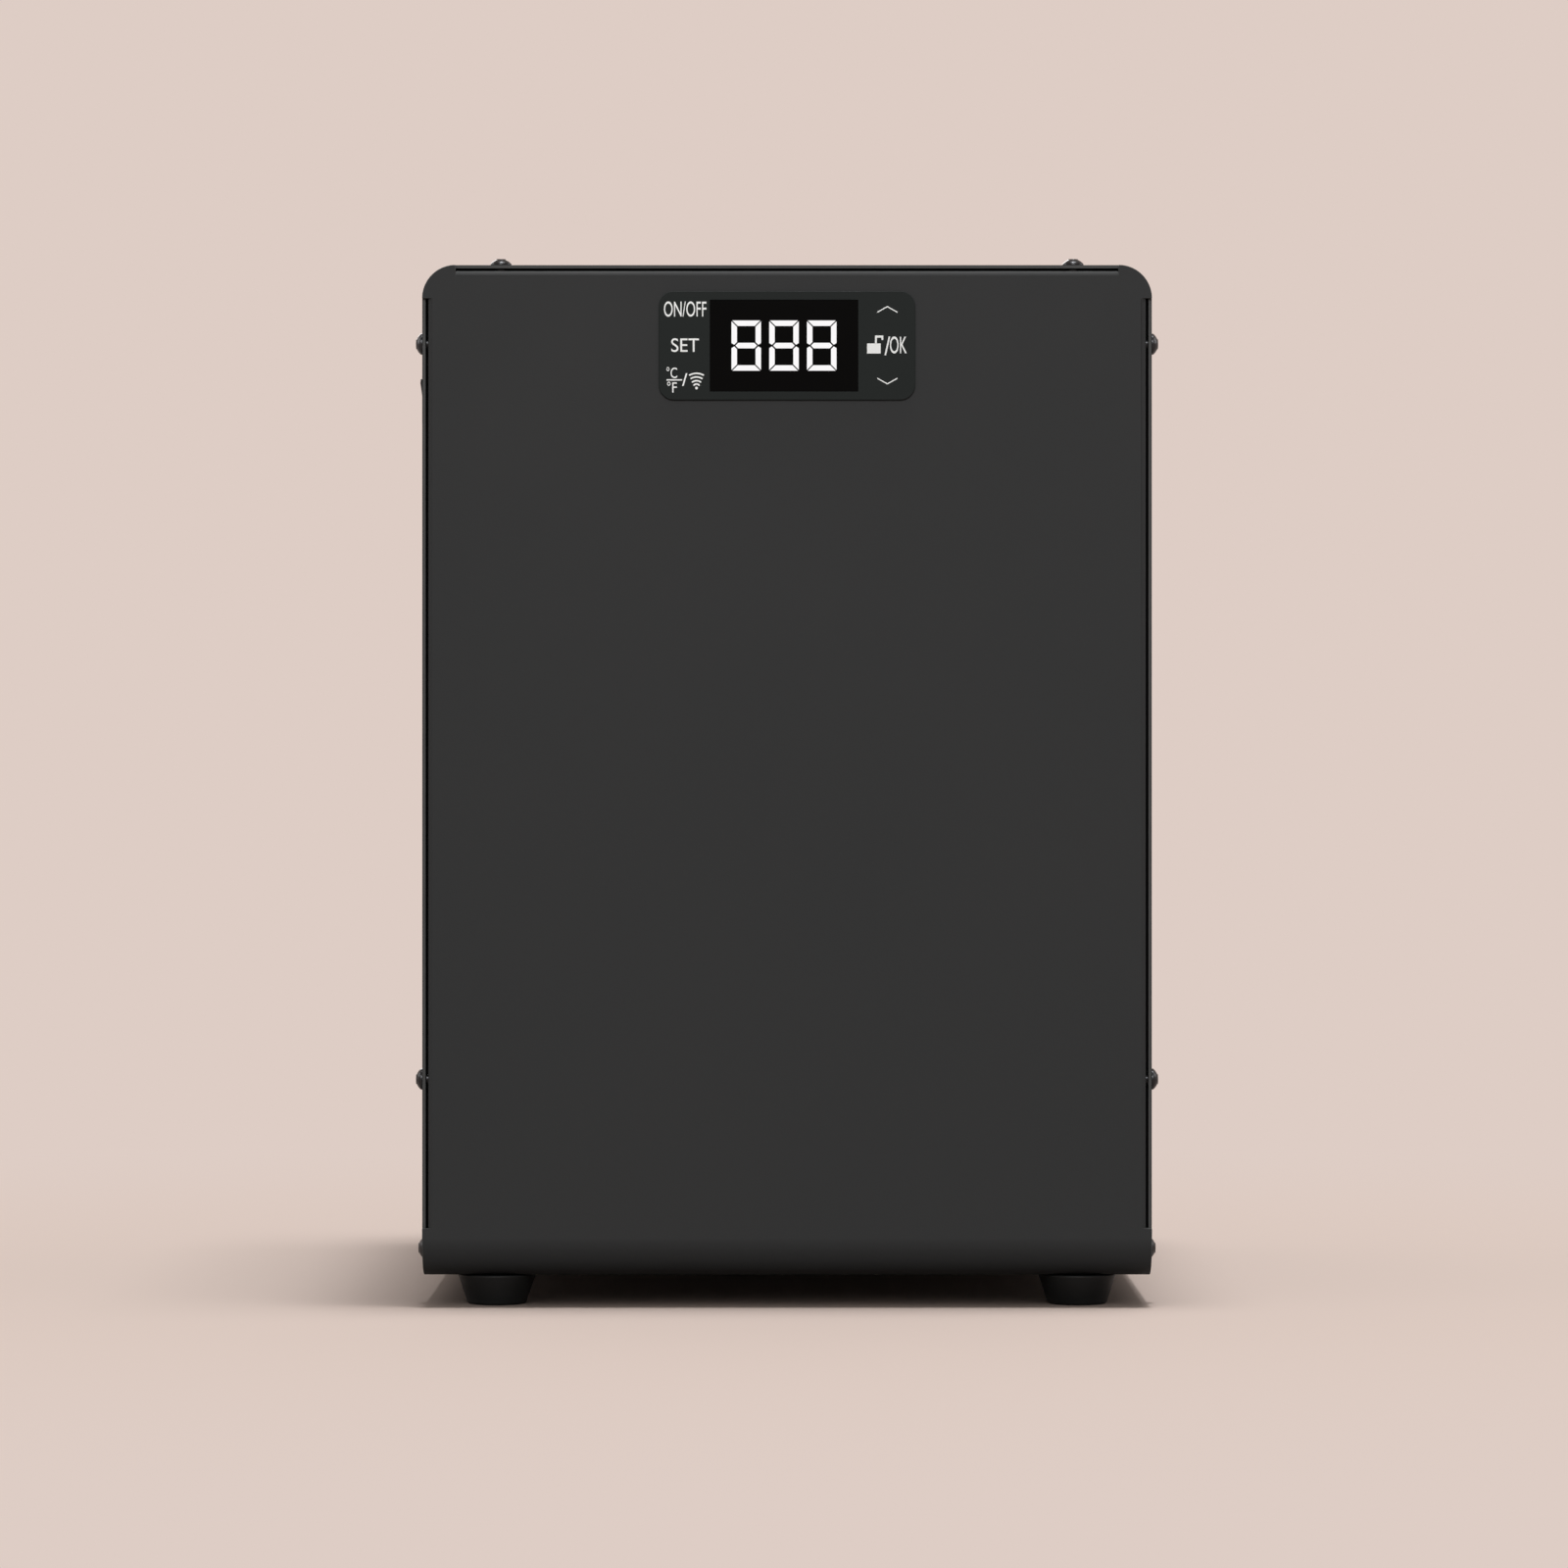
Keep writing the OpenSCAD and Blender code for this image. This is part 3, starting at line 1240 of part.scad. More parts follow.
// Sunk cup that the fingers hook into
module lid_pull_cup() color(gloss_black) from_front() difference() {
    level(top_z - pull_depth, pull_depth) pull_outline(0);
    level(top_z - pull_depth + pull_wall, pull_depth - 2 * pull_wall) pull_outline(pull_wall);
    level(top_z - 2 * pull_wall, 3 * pull_wall) intersection() {
        pull_outline(pull_wall);
        translate([0, pull_y + pull_lip / 2]) square([pull_w, pull_d - pull_lip], center = true);
    }
}

module lid_strikes() color(steel) from_front() for (sx = [-1, 1])
    rod_z([sx * magnet_x, magnet_y, lid_z], strike_r, strike_t);

leaf_screw_y = leaf_len - 4;
leaf_screw_xs = [for (sx = [-1, 1], dx = [-hinge_w / 2 + 6, hinge_w / 2 - 6]) sx * hinge_x + dx];

// Leaf of a hinge behind the pin; the leaf in front is its mirror image
module leaf(knuckles) difference() {
    union() {
        translate([-hinge_w / 2, knuckle_r + 0.4, top_z])
            cube([hinge_w, leaf_len - knuckle_r - 0.4, leaf_t]);
        for (k = knuckles) {
            translate([k[0], 0, top_z]) cube([k[1], knuckle_r + 1, leaf_t]);
            rod_x([k[0], 0, hinge_z], knuckle_r, k[1]);
        }
    }
    rod_x([-hinge_w, 0, hinge_z], hinge_pin_d / 2 + pin_fit, 2 * hinge_w);
    for (dx = [-hinge_w / 2 + 6, hinge_w / 2 - 6])
        rod_z([dx, leaf_screw_y, top_z - 1], small_thread_r + pin_fit, leaf_t + 2);
}

// Holes for the fixed leaves' screws, through the cover and the flange below it
module leaf_screw_holes() for (x = leaf_screw_xs)
    rod_z([x, hinge_y + leaf_screw_y, top_z - 6], small_thread_r + pin_fit, 8);
outer_knuckles = [
    [-hinge_w / 2, knuckle_w - knuckle_gap],
    [hinge_w / 2 - knuckle_w + knuckle_gap, knuckle_w - knuckle_gap]
];
middle_knuckle = [[-knuckle_w / 2, knuckle_w]];

module hinge_fixed_leaves() color(soft_black) from_front()
    for (sx = [-1, 1]) translate([sx * hinge_x, hinge_y, 0]) leaf(outer_knuckles);
module hinge_moving_leaves() color(soft_black) from_front()
    for (sx = [-1, 1]) translate([sx * hinge_x, hinge_y, 0]) mirror([0, 1, 0]) leaf(middle_knuckle);
module hinge_pins() color(steel) from_front()
    for (sx = [-1, 1]) rod_x([sx * hinge_x - hinge_w / 2, hinge_y, hinge_z], hinge_pin_d / 2, hinge_w);
module lid_screws() color(steel) from_front() for (x = leaf_screw_xs)
    translate([x, hinge_y - leaf_screw_y, top_z + leaf_t]) pan_screw(leaf_t + lid_t - 0.5);

// ---- Filament outlets ----

// Screwed-in guides at the back, each with a flange outside and a nut in the chamber
outlet_flange_r = 8;
outlet_flange_t = 3;
guide_nut_t = 3;
module filament_outlets() color(soft_black) from_front() for (x = [-outlet_x, 0, outlet_x])
    translate([x, 0, outlet_z]) {
        start = tub_rear - tub_t - guide_nut_t - 1;
        difference() {
            union() {
                rod_y([0, start, 0], outlet_r, body_d - start + eps);
                rod_y([0, body_d, 0], outlet_flange_r, outlet_flange_t);
                rod_y([0, body_d, 0], outlet_r, rear_reach);
            }
            rod_y([0, start - 1, 0], outlet_bore_d / 2, body_d);
        }
        translate([0, tub_rear - tub_t, 0]) rotate([90, 0, 0]) difference() {
            cylinder(r = outlet_r + 3.5, h = guide_nut_t, $fn = 6);
            translate([0, 0, -1]) cylinder(r = outlet_r, h = guide_nut_t + 2);
        }
    }

front_base_panel();
cover_shell();
rear_panel();
rubber_feet();
button_screws();
lid_screws();
captive_nuts();
touch_panel();
display_module();
display_digits();
filament_outlets();
control_board();
board_standoffs();
small_screws();
switch_housing();
switch_rocker();
mains_inlet();
inlet_pins();
fuse_drawer();
power_board();
power_transformer();
power_parts();
earth_stud();
mains_leads();
switch_leads();
heater_fan_leads();
board_cable();
chamber_tub();
chamber_rear_wall();
tub_posts();
insulation_slabs();
chamber_rim();
lid_gasket();
axle_brackets();
roller_axles();
axle_spacers();
spool_roller_1();
spool_roller_2();
spool_roller_3();
spool_roller_4();
spool_roller_5();
spool_roller_6();
humidity_sensor();
fan_frame();
fan_rotor();
ptc_heater();
heater_duct();
thermal_cutout();
vent_shutter();
drawer_sleeve();
desiccant_drawer();
desiccant_bed();
lid_frame();
lid_window();
lid_pull_cup();
lid_strikes();
lid_magnets();
hinge_fixed_leaves();
hinge_moving_leaves();
hinge_pins();
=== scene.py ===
# %% [markdown]
# # A filament dryer box, from plain frame to finished look
# The engineering model arrives as a fixed frame of named parts. This lesson gives every
# part its real finish, and remodels the parts whose edges, prints or soft shapes show.
# X runs to the right, Y from front to back and Z up. Blender counts in metres, so a size
# written in millimetres is multiplied by MM where it is used.

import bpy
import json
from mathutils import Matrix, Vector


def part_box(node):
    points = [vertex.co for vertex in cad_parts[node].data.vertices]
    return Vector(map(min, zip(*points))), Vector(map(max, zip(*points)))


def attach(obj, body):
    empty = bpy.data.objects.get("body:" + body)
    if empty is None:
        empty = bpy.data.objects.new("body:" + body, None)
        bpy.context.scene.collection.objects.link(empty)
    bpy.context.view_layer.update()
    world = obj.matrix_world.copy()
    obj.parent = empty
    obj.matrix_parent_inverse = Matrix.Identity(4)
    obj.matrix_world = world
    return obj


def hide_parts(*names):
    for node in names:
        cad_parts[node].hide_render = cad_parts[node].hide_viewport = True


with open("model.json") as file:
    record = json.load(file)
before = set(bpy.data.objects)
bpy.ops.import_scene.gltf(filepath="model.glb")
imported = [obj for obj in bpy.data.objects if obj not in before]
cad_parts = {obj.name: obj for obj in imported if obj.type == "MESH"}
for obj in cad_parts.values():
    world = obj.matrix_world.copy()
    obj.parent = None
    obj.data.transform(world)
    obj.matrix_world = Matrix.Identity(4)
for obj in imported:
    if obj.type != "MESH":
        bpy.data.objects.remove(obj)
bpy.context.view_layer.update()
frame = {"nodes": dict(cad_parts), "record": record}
nodes = frame["nodes"]

# %% [markdown]
# ## The camera
# A long lens far away keeps upright edges upright, as in a catalogue view. The camera
# stands level, close to the cabinet's middle height, and looks straight at the front. The
# view transform is the plain one, so colours come out as they are set.

# %% Camera
import bmesh
import bpy
import json
import math
import random
from mathutils import Vector

MM = 0.001
EYE = (-0.001, -2.0376, 0.1723)
scene = bpy.context.scene
scene.view_settings.view_transform = "Standard"
bpy.ops.object.camera_add(location=EYE, rotation=(math.radians(90), 0, 0))
camera = bpy.context.object
camera.name = "front_camera"
camera.data.lens = 132.71
camera.data.sensor_width = 36
scene.camera = camera
print("camera", camera.location[:], "lens", camera.data.lens)

# %% [markdown]
# ## Building materials from nodes
# Each finish is a small network: object coordinates feed noise, and noise varies colour,
# roughness and bump. Three helpers keep the networks short. One adds a node and fills or
# links its sockets, by name, or by number where a node has several sockets of one name,
# as Math and Mix do. The other two start a material and a node group.

# %% Node helpers
def add_node(tree, kind, inputs=None, **settings):
    made = tree.nodes.new(kind)
    for key, value in settings.items():
        setattr(made, key, value)
    for key, value in (inputs or {}).items():
        if isinstance(value, bpy.types.NodeSocket):
            tree.links.new(value, made.inputs[key])
        else:
            made.inputs[key].default_value = value
    return made


def start_material(name, **sockets):
    material = bpy.data.materials.new(name)
    material.use_nodes = True
    tree = material.node_tree
    shader = tree.nodes["Principled BSDF"]
    for key, value in sockets.items():
        shader.inputs[key.replace("_", " ")].default_value = value
    place = add_node(tree, "ShaderNodeTexCoord").outputs["Object"]
    return material, tree, shader, place


def start_group(name, inputs, outputs):
    group = bpy.data.node_groups.new(name, "ShaderNodeTree")
    for label, kind, value in inputs:
        socket = group.interface.new_socket(label, in_out="INPUT", socket_type="NodeSocket" + kind)
        if value is not None:
            socket.default_value = value
    for label, kind in outputs:
        group.interface.new_socket(label, in_out="OUTPUT", socket_type="NodeSocket" + kind)
    given = group.nodes.new("NodeGroupInput").outputs
    result = group.nodes.new("NodeGroupOutput").inputs
    return group, given, result


print("node helpers ready")

# %% [markdown]
# ## Shared effects
# Powder coat, moulded plastic and rubber all have a fine pebbled skin and a colour that
# wanders slightly. Both effects are made once as node groups, and every material places
# them with its own scale and strength.

# %% Group: pebbled skin
def make_skin_group():
    group, given, result = start_group(
        "pebbled_skin",
        [("Vector", "Vector", None), ("Grain Size", "Float", 0.0005),
         ("Depth", "Float", 0.00002)],
        [("Normal", "Vector")])
    scale = add_node(group, "ShaderNodeMath", {0: 1.0, 1: given["Grain Size"]}, operation="DIVIDE")
    coarse = add_node(group, "ShaderNodeTexNoise", {
        "Vector": given["Vector"], "Scale": scale.outputs[0], "Detail": 3.0, "Roughness": 0.55})
    cells = add_node(group, "ShaderNodeTexVoronoi", {
        "Vector": given["Vector"], "Scale": scale.outputs[0], "Randomness": 1.0},
        feature="SMOOTH_F1")
    both = add_node(group, "ShaderNodeMath", {
        0: coarse.outputs["Fac"], 1: cells.outputs["Distance"]}, operation="ADD")
    bump = add_node(group, "ShaderNodeBump", {
        "Strength": 0.6, "Distance": given["Depth"], "Height": both.outputs[0]})
    group.links.new(bump.outputs["Normal"], result["Normal"])
    return group


pebbled_skin = make_skin_group()
print("group", pebbled_skin.name)

# %% [markdown]
# No coat or moulding has exactly one colour. Slow noise makes the tone a little lighter
# or darker from place to place, and makes the same patches glossier or duller.

# %% Group: wandering colour
def make_wander_group():
    group, given, result = start_group(
        "wandering_tone",
        [("Vector", "Vector", None), ("Colour", "Color", (0.5, 0.5, 0.5, 1)),
         ("Patch Size", "Float", 0.06), ("Amount", "Float", 0.1),
         ("Roughness", "Float", 0.5), ("Gloss Change", "Float", 0.05)],
        [("Colour", "Color"), ("Roughness", "Float")])
    scale = add_node(group, "ShaderNodeMath", {0: 1.0, 1: given["Patch Size"]}, operation="DIVIDE")
    patch = add_node(group, "ShaderNodeTexNoise", {
        "Vector": given["Vector"], "Scale": scale.outputs[0], "Detail": 4.0, "Roughness": 0.6})
    centred = add_node(group, "ShaderNodeMapRange", {
        "Value": patch.outputs["Fac"], "From Min": 0.3, "From Max": 0.7,
        "To Min": -1.0, "To Max": 1.0})
    swing = add_node(group, "ShaderNodeMath", {
        0: centred.outputs[0], 1: given["Amount"], 2: 1.0}, operation="MULTIPLY_ADD")
    tone = add_node(group, "ShaderNodeVectorMath", {
        0: given["Colour"], "Scale": swing.outputs[0]}, operation="SCALE")
    gloss = add_node(group, "ShaderNodeMath", {
        0: centred.outputs[0], 1: given["Gloss Change"], 2: given["Roughness"]},
        operation="MULTIPLY_ADD", use_clamp=True)
    group.links.new(tone.outputs[0], result["Colour"])
    group.links.new(gloss.outputs[0], result["Roughness"])
    return group


wandering_tone = make_wander_group()
print("group", wandering_tone.name)

# %% [markdown]
# Rolling, turning and brushing leave fine parallel lines in metal. The material hands in
# coordinates that it has squeezed along one axis, so plain noise comes out as lines.

# %% Group: brushed lines
def make_brush_group():
    group, given, result = start_group(
        "brushed_lines",
        [("Vector", "Vector", None), ("Roughness", "Float", 0.35), ("Spread", "Float", 0.1),
         ("Depth", "Float", 0.00001)],
        [("Roughness", "Float"), ("Normal", "Vector")])
    lines = add_node(group, "ShaderNodeTexNoise", {
        "Vector": given["Vector"], "Scale": 1.0, "Detail": 3.0, "Roughness": 0.6})
    rough = add_node(group, "ShaderNodeMath", {
        0: lines.outputs["Fac"], 1: given["Spread"], 2: given["Roughness"]},
        operation="MULTIPLY_ADD", use_clamp=True)
    bump = add_node(group, "ShaderNodeBump", {
        "Strength": 0.5, "Distance": given["Depth"], "Height": lines.outputs["Fac"]})
    group.links.new(rough.outputs[0], result["Roughness"])
    group.links.new(bump.outputs["Normal"], result["Normal"])
    return group


brushed_lines = make_brush_group()
print("group", brushed_lines.name)

# %% [markdown]
# ## Coated, moulded and rubber finishes
# A coated or moulded surface is one recipe with different numbers: base colour, how rough
# and how mirror-like the skin is, the size of its grain and the depth of its pebbles, and
# the size, the amount and the gloss change of its patches. Lengths are in metres.

# %% Recipe for coats, plastics and rubber
def moulded(name, colour, roughness, specular=0.5, grain=0.0006, depth=0.00002,
            patch=0.05, amount=0.12, gloss_change=0.05, **sockets):
    material, tree, shader, place = start_material(
        name, Specular_IOR_Level=specular, **sockets)
    tone = add_node(tree, "ShaderNodeGroup", node_tree=wandering_tone)
    skin = add_node(tree, "ShaderNodeGroup", node_tree=pebbled_skin)
    for group_node, values in (
            (tone, {"Colour": (*colour, 1), "Patch Size": patch, "Amount": amount,
                    "Roughness": roughness, "Gloss Change": gloss_change}),
            (skin, {"Grain Size": grain, "Depth": depth})):
        tree.links.new(place, group_node.inputs["Vector"])
        for key, value in values.items():
            group_node.inputs[key].default_value = value
    tree.links.new(tone.outputs["Colour"], shader.inputs["Base Color"])
    tree.links.new(tone.outputs["Roughness"], shader.inputs["Roughness"])
    tree.links.new(skin.outputs["Normal"], shader.inputs["Normal"])
    return material


sheet_coat = moulded(
    "sheet_powder_coat", (0.0198, 0.0219, 0.0231), roughness=0.64, specular=0.25,
    grain=0.00045, depth=0.000018, patch=0.09, amount=0.06, gloss_change=0.04)
# The edge finish is lighter than the coat: a painted highlight along the sheets' rounded edges. Its
# lower roughness is a real, slightly shinier rounding.
painted_highlight_coat = moulded(
    "sheet_coat_painted_highlight", (0.046, 0.0485, 0.0485), roughness=0.5, specular=0.3,
    grain=0.00045, depth=0.00001, patch=0.02, amount=0.15, gloss_change=0.06)
black_plastic = moulded(
    "black_moulded_plastic", (0.016, 0.016, 0.0165), roughness=0.46, specular=0.45, grain=0.0005)
# The plastic's edge finish is lighter than the moulding: a painted highlight along rounded edges.
# Its lower roughness is a real, slightly shinier edge.
painted_highlight_plastic = moulded(
    "moulded_plastic_painted_highlight", (0.03, 0.0305, 0.031), roughness=0.4, grain=0.0005, depth=0.00001)
grey_plastic = moulded(
    "grey_moulded_plastic", (0.075, 0.077, 0.082), roughness=0.42, depth=0.000015)
white_plastic = moulded(
    "white_moulded_plastic", (0.74, 0.73, 0.69), roughness=0.38, grain=0.0008, depth=0.00001,
    patch=0.03, amount=0.05)
foot_rubber = moulded(
    "foot_rubber", (0.0042, 0.0048, 0.005), roughness=0.5, specular=0.22, grain=0.0009,
    depth=0.00003, patch=0.02, amount=0.2, gloss_change=0.08)
seal_rubber = moulded(
    "seal_sponge", (0.12, 0.12, 0.122), roughness=0.7, specular=0.3, grain=0.0007,
    depth=0.00006, patch=0.01, amount=0.2, gloss_change=0.08)
foam = moulded(
    "closed_cell_foam", (0.2, 0.2, 0.205), roughness=0.85, specular=0.2, grain=0.0014,
    depth=0.00018, patch=0.02, amount=0.2)
phenolic = moulded(
    "dark_phenolic", (0.03, 0.018, 0.014), roughness=0.35, grain=0.0005, depth=0.00001)
print(len(bpy.data.materials), "coats, plastics and rubbers")

# %% [markdown]
# The touch panel is printed polyester film, duller and greener than the coat round it.
# Behind its window the display is smooth dark glass, and the legends are white ink.

# %% Panel film, display glass and ink
panel_film = moulded(
    "touch_panel_film", (0.0112, 0.0146, 0.0142), roughness=0.42, specular=0.1,
    grain=0.0004, depth=0.000004, amount=0.05, gloss_change=0.03)
display_glass = moulded(
    "display_glass", (0.0016, 0.0018, 0.0019), roughness=0.1, specular=0.05, grain=0.002,
    depth=0.000002, patch=0.03, amount=0.1, gloss_change=0.04)
white_print = moulded(
    "white_print", (0.93, 0.955, 0.95), roughness=0.55, specular=0.3, grain=0.0003,
    depth=0.000006, patch=0.004, amount=0.03)
print(len(bpy.data.materials), "materials so far")

# %% [markdown]
# ## Metals
# Bare metal shows the direction it was rolled, turned or brushed in. Noise that is
# squeezed along one axis by a Mapping node gives those lines, and a second noise stains
# the colour a little, as handling and plating do. Spread says how far the lines change
# the roughness, and depth how deep they are, in metres.

# %% Recipe for metals
STAIN_SIZE = 0.02


def metal(name, colour, roughness, stretch, spread=0.15, depth=0.000008, stain=0.12):
    material, tree, shader, place = start_material(name, Metallic=1.0)
    lines_at = add_node(tree, "ShaderNodeMapping", {"Vector": place, "Scale": stretch})
    lines = add_node(tree, "ShaderNodeGroup", node_tree=brushed_lines)
    tree.links.new(lines_at.outputs[0], lines.inputs["Vector"])
    lines.inputs["Roughness"].default_value = roughness - spread / 2
    lines.inputs["Spread"].default_value = spread
    lines.inputs["Depth"].default_value = depth
    tone = add_node(tree, "ShaderNodeGroup", node_tree=wandering_tone)
    tree.links.new(place, tone.inputs["Vector"])
    for key, value in {
            "Colour": (*colour, 1), "Patch Size": STAIN_SIZE, "Amount": stain}.items():
        tone.inputs[key].default_value = value
    tree.links.new(tone.outputs["Colour"], shader.inputs["Base Color"])
    tree.links.new(lines.outputs["Roughness"], shader.inputs["Roughness"])
    tree.links.new(lines.outputs["Normal"], shader.inputs["Normal"])
    return material


ALONG_X, ALONG_Y, ALONG_Z = (60, 2600, 2600), (2600, 60, 2600), (2600, 2600, 60)
EVERY_WAY = (900, 900, 900)
zinc_steel = metal("zinc_plated_steel", (0.56, 0.58, 0.6), 0.38, ALONG_Z)
ground_steel = metal("ground_steel", (0.6, 0.6, 0.61), 0.25, ALONG_Y, spread=0.12)
duct_steel = metal("galvanised_duct", (0.52, 0.54, 0.55), 0.42, ALONG_X, spread=0.2,
                   depth=0.00001, stain=0.2)
mill_aluminium = metal("mill_aluminium", (0.52, 0.53, 0.54), 0.58, ALONG_X, spread=0.12,
                       depth=0.00001, stain=0.08)
brass = metal("machined_brass", (0.72, 0.5, 0.2), 0.3, ALONG_Z, spread=0.14)
screw_black = metal("black_oxide_steel", (0.035, 0.036, 0.038), 0.3, EVERY_WAY, spread=0.12,
                    depth=0.000004)
print(len(bpy.data.materials), "materials so far")

# %% [markdown]
# ## Inside the cabinet
# A circuit board is green lacquer over etched copper. A brick pattern draws the tracks as
# its mortar, and round cells draw the bare soldered pads, which are metal and glossier.

# %% Circuit board
PADS_PER_METRE, PAD_SHARE, SOLDER = 260.0, 0.13, (0.62, 0.6, 0.55, 1)


def circuit_board():
    material, tree, shader, place = start_material("green_circuit_board", Specular_IOR_Level=0.5)
    bricks = add_node(tree, "ShaderNodeTexBrick", {
        "Vector": place, "Scale": 1.0, "Mortar Size": 0.0004, "Brick Width": 0.011,
        "Row Height": 0.0032, "Color1": (0.004, 0.085, 0.028, 1),
        "Color2": (0.006, 0.1, 0.034, 1), "Mortar": (0.02, 0.2, 0.07, 1)})
    dots = add_node(tree, "ShaderNodeTexVoronoi", {
        "Vector": place, "Scale": PADS_PER_METRE, "Randomness": 0.35})
    pads = add_node(tree, "ShaderNodeMath", {
        0: dots.outputs["Distance"], 1: PAD_SHARE}, operation="LESS_THAN")
    mixed = add_node(tree, "ShaderNodeMix", {
        0: pads.outputs[0], 6: bricks.outputs["Color"], 7: SOLDER}, data_type="RGBA")
    tree.links.new(mixed.outputs[2], shader.inputs["Base Color"])
    tree.links.new(pads.outputs[0], shader.inputs["Metallic"])
    gloss = add_node(tree, "ShaderNodeMapRange", {
        "Value": dots.outputs["Distance"], "To Min": 0.22, "To Max": 0.36})
    tree.links.new(gloss.outputs[0], shader.inputs["Roughness"])
    return material


board_green = circuit_board()
print(board_green.name)

# %% [markdown]
# A winding is wrapped in turns of tape, and the cases of the parts on the boards are
# stacked in rows. Both are one recipe: height is cut into equal steps, and the start of
# each step is drawn as a line and pressed in a little. Wires have plain insulation.

# %% Winding, moulded cases and wire insulation
def banded(name, colour, line, step, roughness, width=0.15):
    material, tree, shader, place = start_material(name, Specular_IOR_Level=0.45)
    height = add_node(tree, "ShaderNodeVectorMath", {0: place, 1: (0, 0, 1)},
                      operation="DOT_PRODUCT")
    turns = add_node(tree, "ShaderNodeMath", {0: height.outputs["Value"], 1: step},
                     operation="DIVIDE")
    part = add_node(tree, "ShaderNodeMath", {0: turns.outputs[0]}, operation="FRACT")
    groove = add_node(tree, "ShaderNodeMath", {0: part.outputs[0], 1: width},
                      operation="LESS_THAN")
    mixed = add_node(tree, "ShaderNodeMix", {
        0: groove.outputs[0], 6: (*colour, 1), 7: (*line, 1)}, data_type="RGBA")
    tree.links.new(mixed.outputs[2], shader.inputs["Base Color"])
    stain = add_node(tree, "ShaderNodeTexNoise", {"Vector": place, "Scale": 300.0, "Detail": 3.0})
    gloss = add_node(tree, "ShaderNodeMapRange", {
        "Value": stain.outputs["Fac"], "To Min": roughness - 0.1, "To Max": roughness + 0.1})
    tree.links.new(gloss.outputs[0], shader.inputs["Roughness"])
    bump = add_node(tree, "ShaderNodeBump", {
        "Strength": 0.4, "Distance": 0.0001, "Height": part.outputs[0]})
    tree.links.new(bump.outputs["Normal"], shader.inputs["Normal"])
    return material


def insulation(name, colour, roughness, amount):
    return moulded(name, colour, roughness, grain=0.0007, patch=0.01, amount=amount)


taped_winding = banded(
    "taped_winding", (0.62, 0.4, 0.04), (0.4, 0.24, 0.02), step=0.0021, roughness=0.4)
part_cases = banded(
    "moulded_part_cases", (0.02, 0.045, 0.13), (0.3, 0.31, 0.33), step=0.0104,
    roughness=0.38, width=0.06)
black_wire = insulation("black_insulation", (0.012, 0.012, 0.013), 0.42, 0.15)
red_wire = insulation("red_insulation", (0.34, 0.014, 0.012), 0.38, 0.12)
grey_wire = insulation("grey_insulation", (0.34, 0.34, 0.33), 0.4, 0.1)
print(len(bpy.data.materials), "materials so far")

# %% [markdown]
# Drying beads let some light through. The window in the lid is smoked acrylic, and its low
# IOR stands for an anti-reflex coat, so the lamps don't print their image on it. The
# digits glow by themselves, and their base is dark so that the lamps add little.

# %% Beads, smoked window and lit digits
bead_gel = moulded(
    "orange_drying_beads", (0.72, 0.27, 0.03), roughness=0.18, grain=0.0012, depth=0.00001,
    patch=0.012, amount=0.3, gloss_change=0.06, Transmission_Weight=0.25, IOR=1.45)
smoked_window = moulded(
    "smoked_window", (0.16, 0.165, 0.17), roughness=0.05, specular=0.3, grain=0.02,
    depth=0.0000004, amount=0.06, gloss_change=0.02, Transmission_Weight=1.0, IOR=1.12)


def lit_bars():
    material, tree, shader, place = start_material("lit_display_bars", Roughness=0.4)
    ripple = add_node(tree, "ShaderNodeTexNoise", {"Vector": place, "Scale": 400.0, "Detail": 2.0})
    tone = add_node(tree, "ShaderNodeMix", {
        0: ripple.outputs["Fac"], 6: (0.95, 0.935, 0.945, 1), 7: (1.0, 0.985, 0.995, 1)},
        data_type="RGBA")
    tree.links.new(tone.outputs[2], shader.inputs["Emission Color"])
    dim = add_node(tree, "ShaderNodeVectorMath", {0: tone.outputs[2], "Scale": 0.08},
                   operation="SCALE")
    tree.links.new(dim.outputs[0], shader.inputs["Base Color"])
    shader.inputs["Emission Strength"].default_value = 0.87
    return material


digit_light = lit_bars()
print(len(bpy.data.materials), "materials in all")

# %% [markdown]
# ## Parts that keep their shape
# A part that hardly shows, or whose shape is already right, only changes its material
# slots. The table pairs each finish with the parts that wear it. The sheets, mouldings,
# screws, feet, panel and drying beads are remodelled further down.

# %% Finishes for the frame's parts
FINISHES = [
    (display_glass, "display_module"),
    (digit_light, "display_digits"),
    (grey_plastic, "fan_rotor"),
    (white_plastic, "axle_spacers humidity_sensor"),
    (board_green, "control_board power_board"),
    (part_cases, "power_parts"),
    (taped_winding, "power_transformer"),
    (brass, "board_standoffs inlet_pins earth_stud"),
    (zinc_steel, "captive_nuts small_screws lid_screws tub_posts lid_strikes lid_magnets"),
    (ground_steel, "roller_axles hinge_pins"),
    (duct_steel, "heater_duct drawer_sleeve"),
    (mill_aluminium, "ptc_heater"),
    (phenolic, "thermal_cutout"),
    (black_wire, "mains_leads"),
    (red_wire, "switch_leads"),
    (grey_wire, "heater_fan_leads board_cable"),
]
finished = set()
for material, names in FINISHES:
    for name in names.split():
        nodes[name].data.materials.clear()
        nodes[name].data.materials.append(material)
        finished.add(name)
print(len(finished), "parts finished; to remodel:", sorted(set(nodes) - finished))

# %% [markdown]
# ## Folded sheet with softened edges
# Laser-cut and folded sheet never has a knife edge: it has a narrow rounding, a little
# shinier than the coat, and that rounding is painted lighter, a painted highlight. Three
# small helpers come first: one selects a piece alone, one runs steps on it in edit mode,
# and one applies its turns and sizes.

# %% Select, edit and settle
def nothing_selected():
    bpy.ops.object.select_all(action="DESELECT")


def only(piece):
    nothing_selected()
    piece.select_set(True)
    bpy.context.view_layer.objects.active = piece


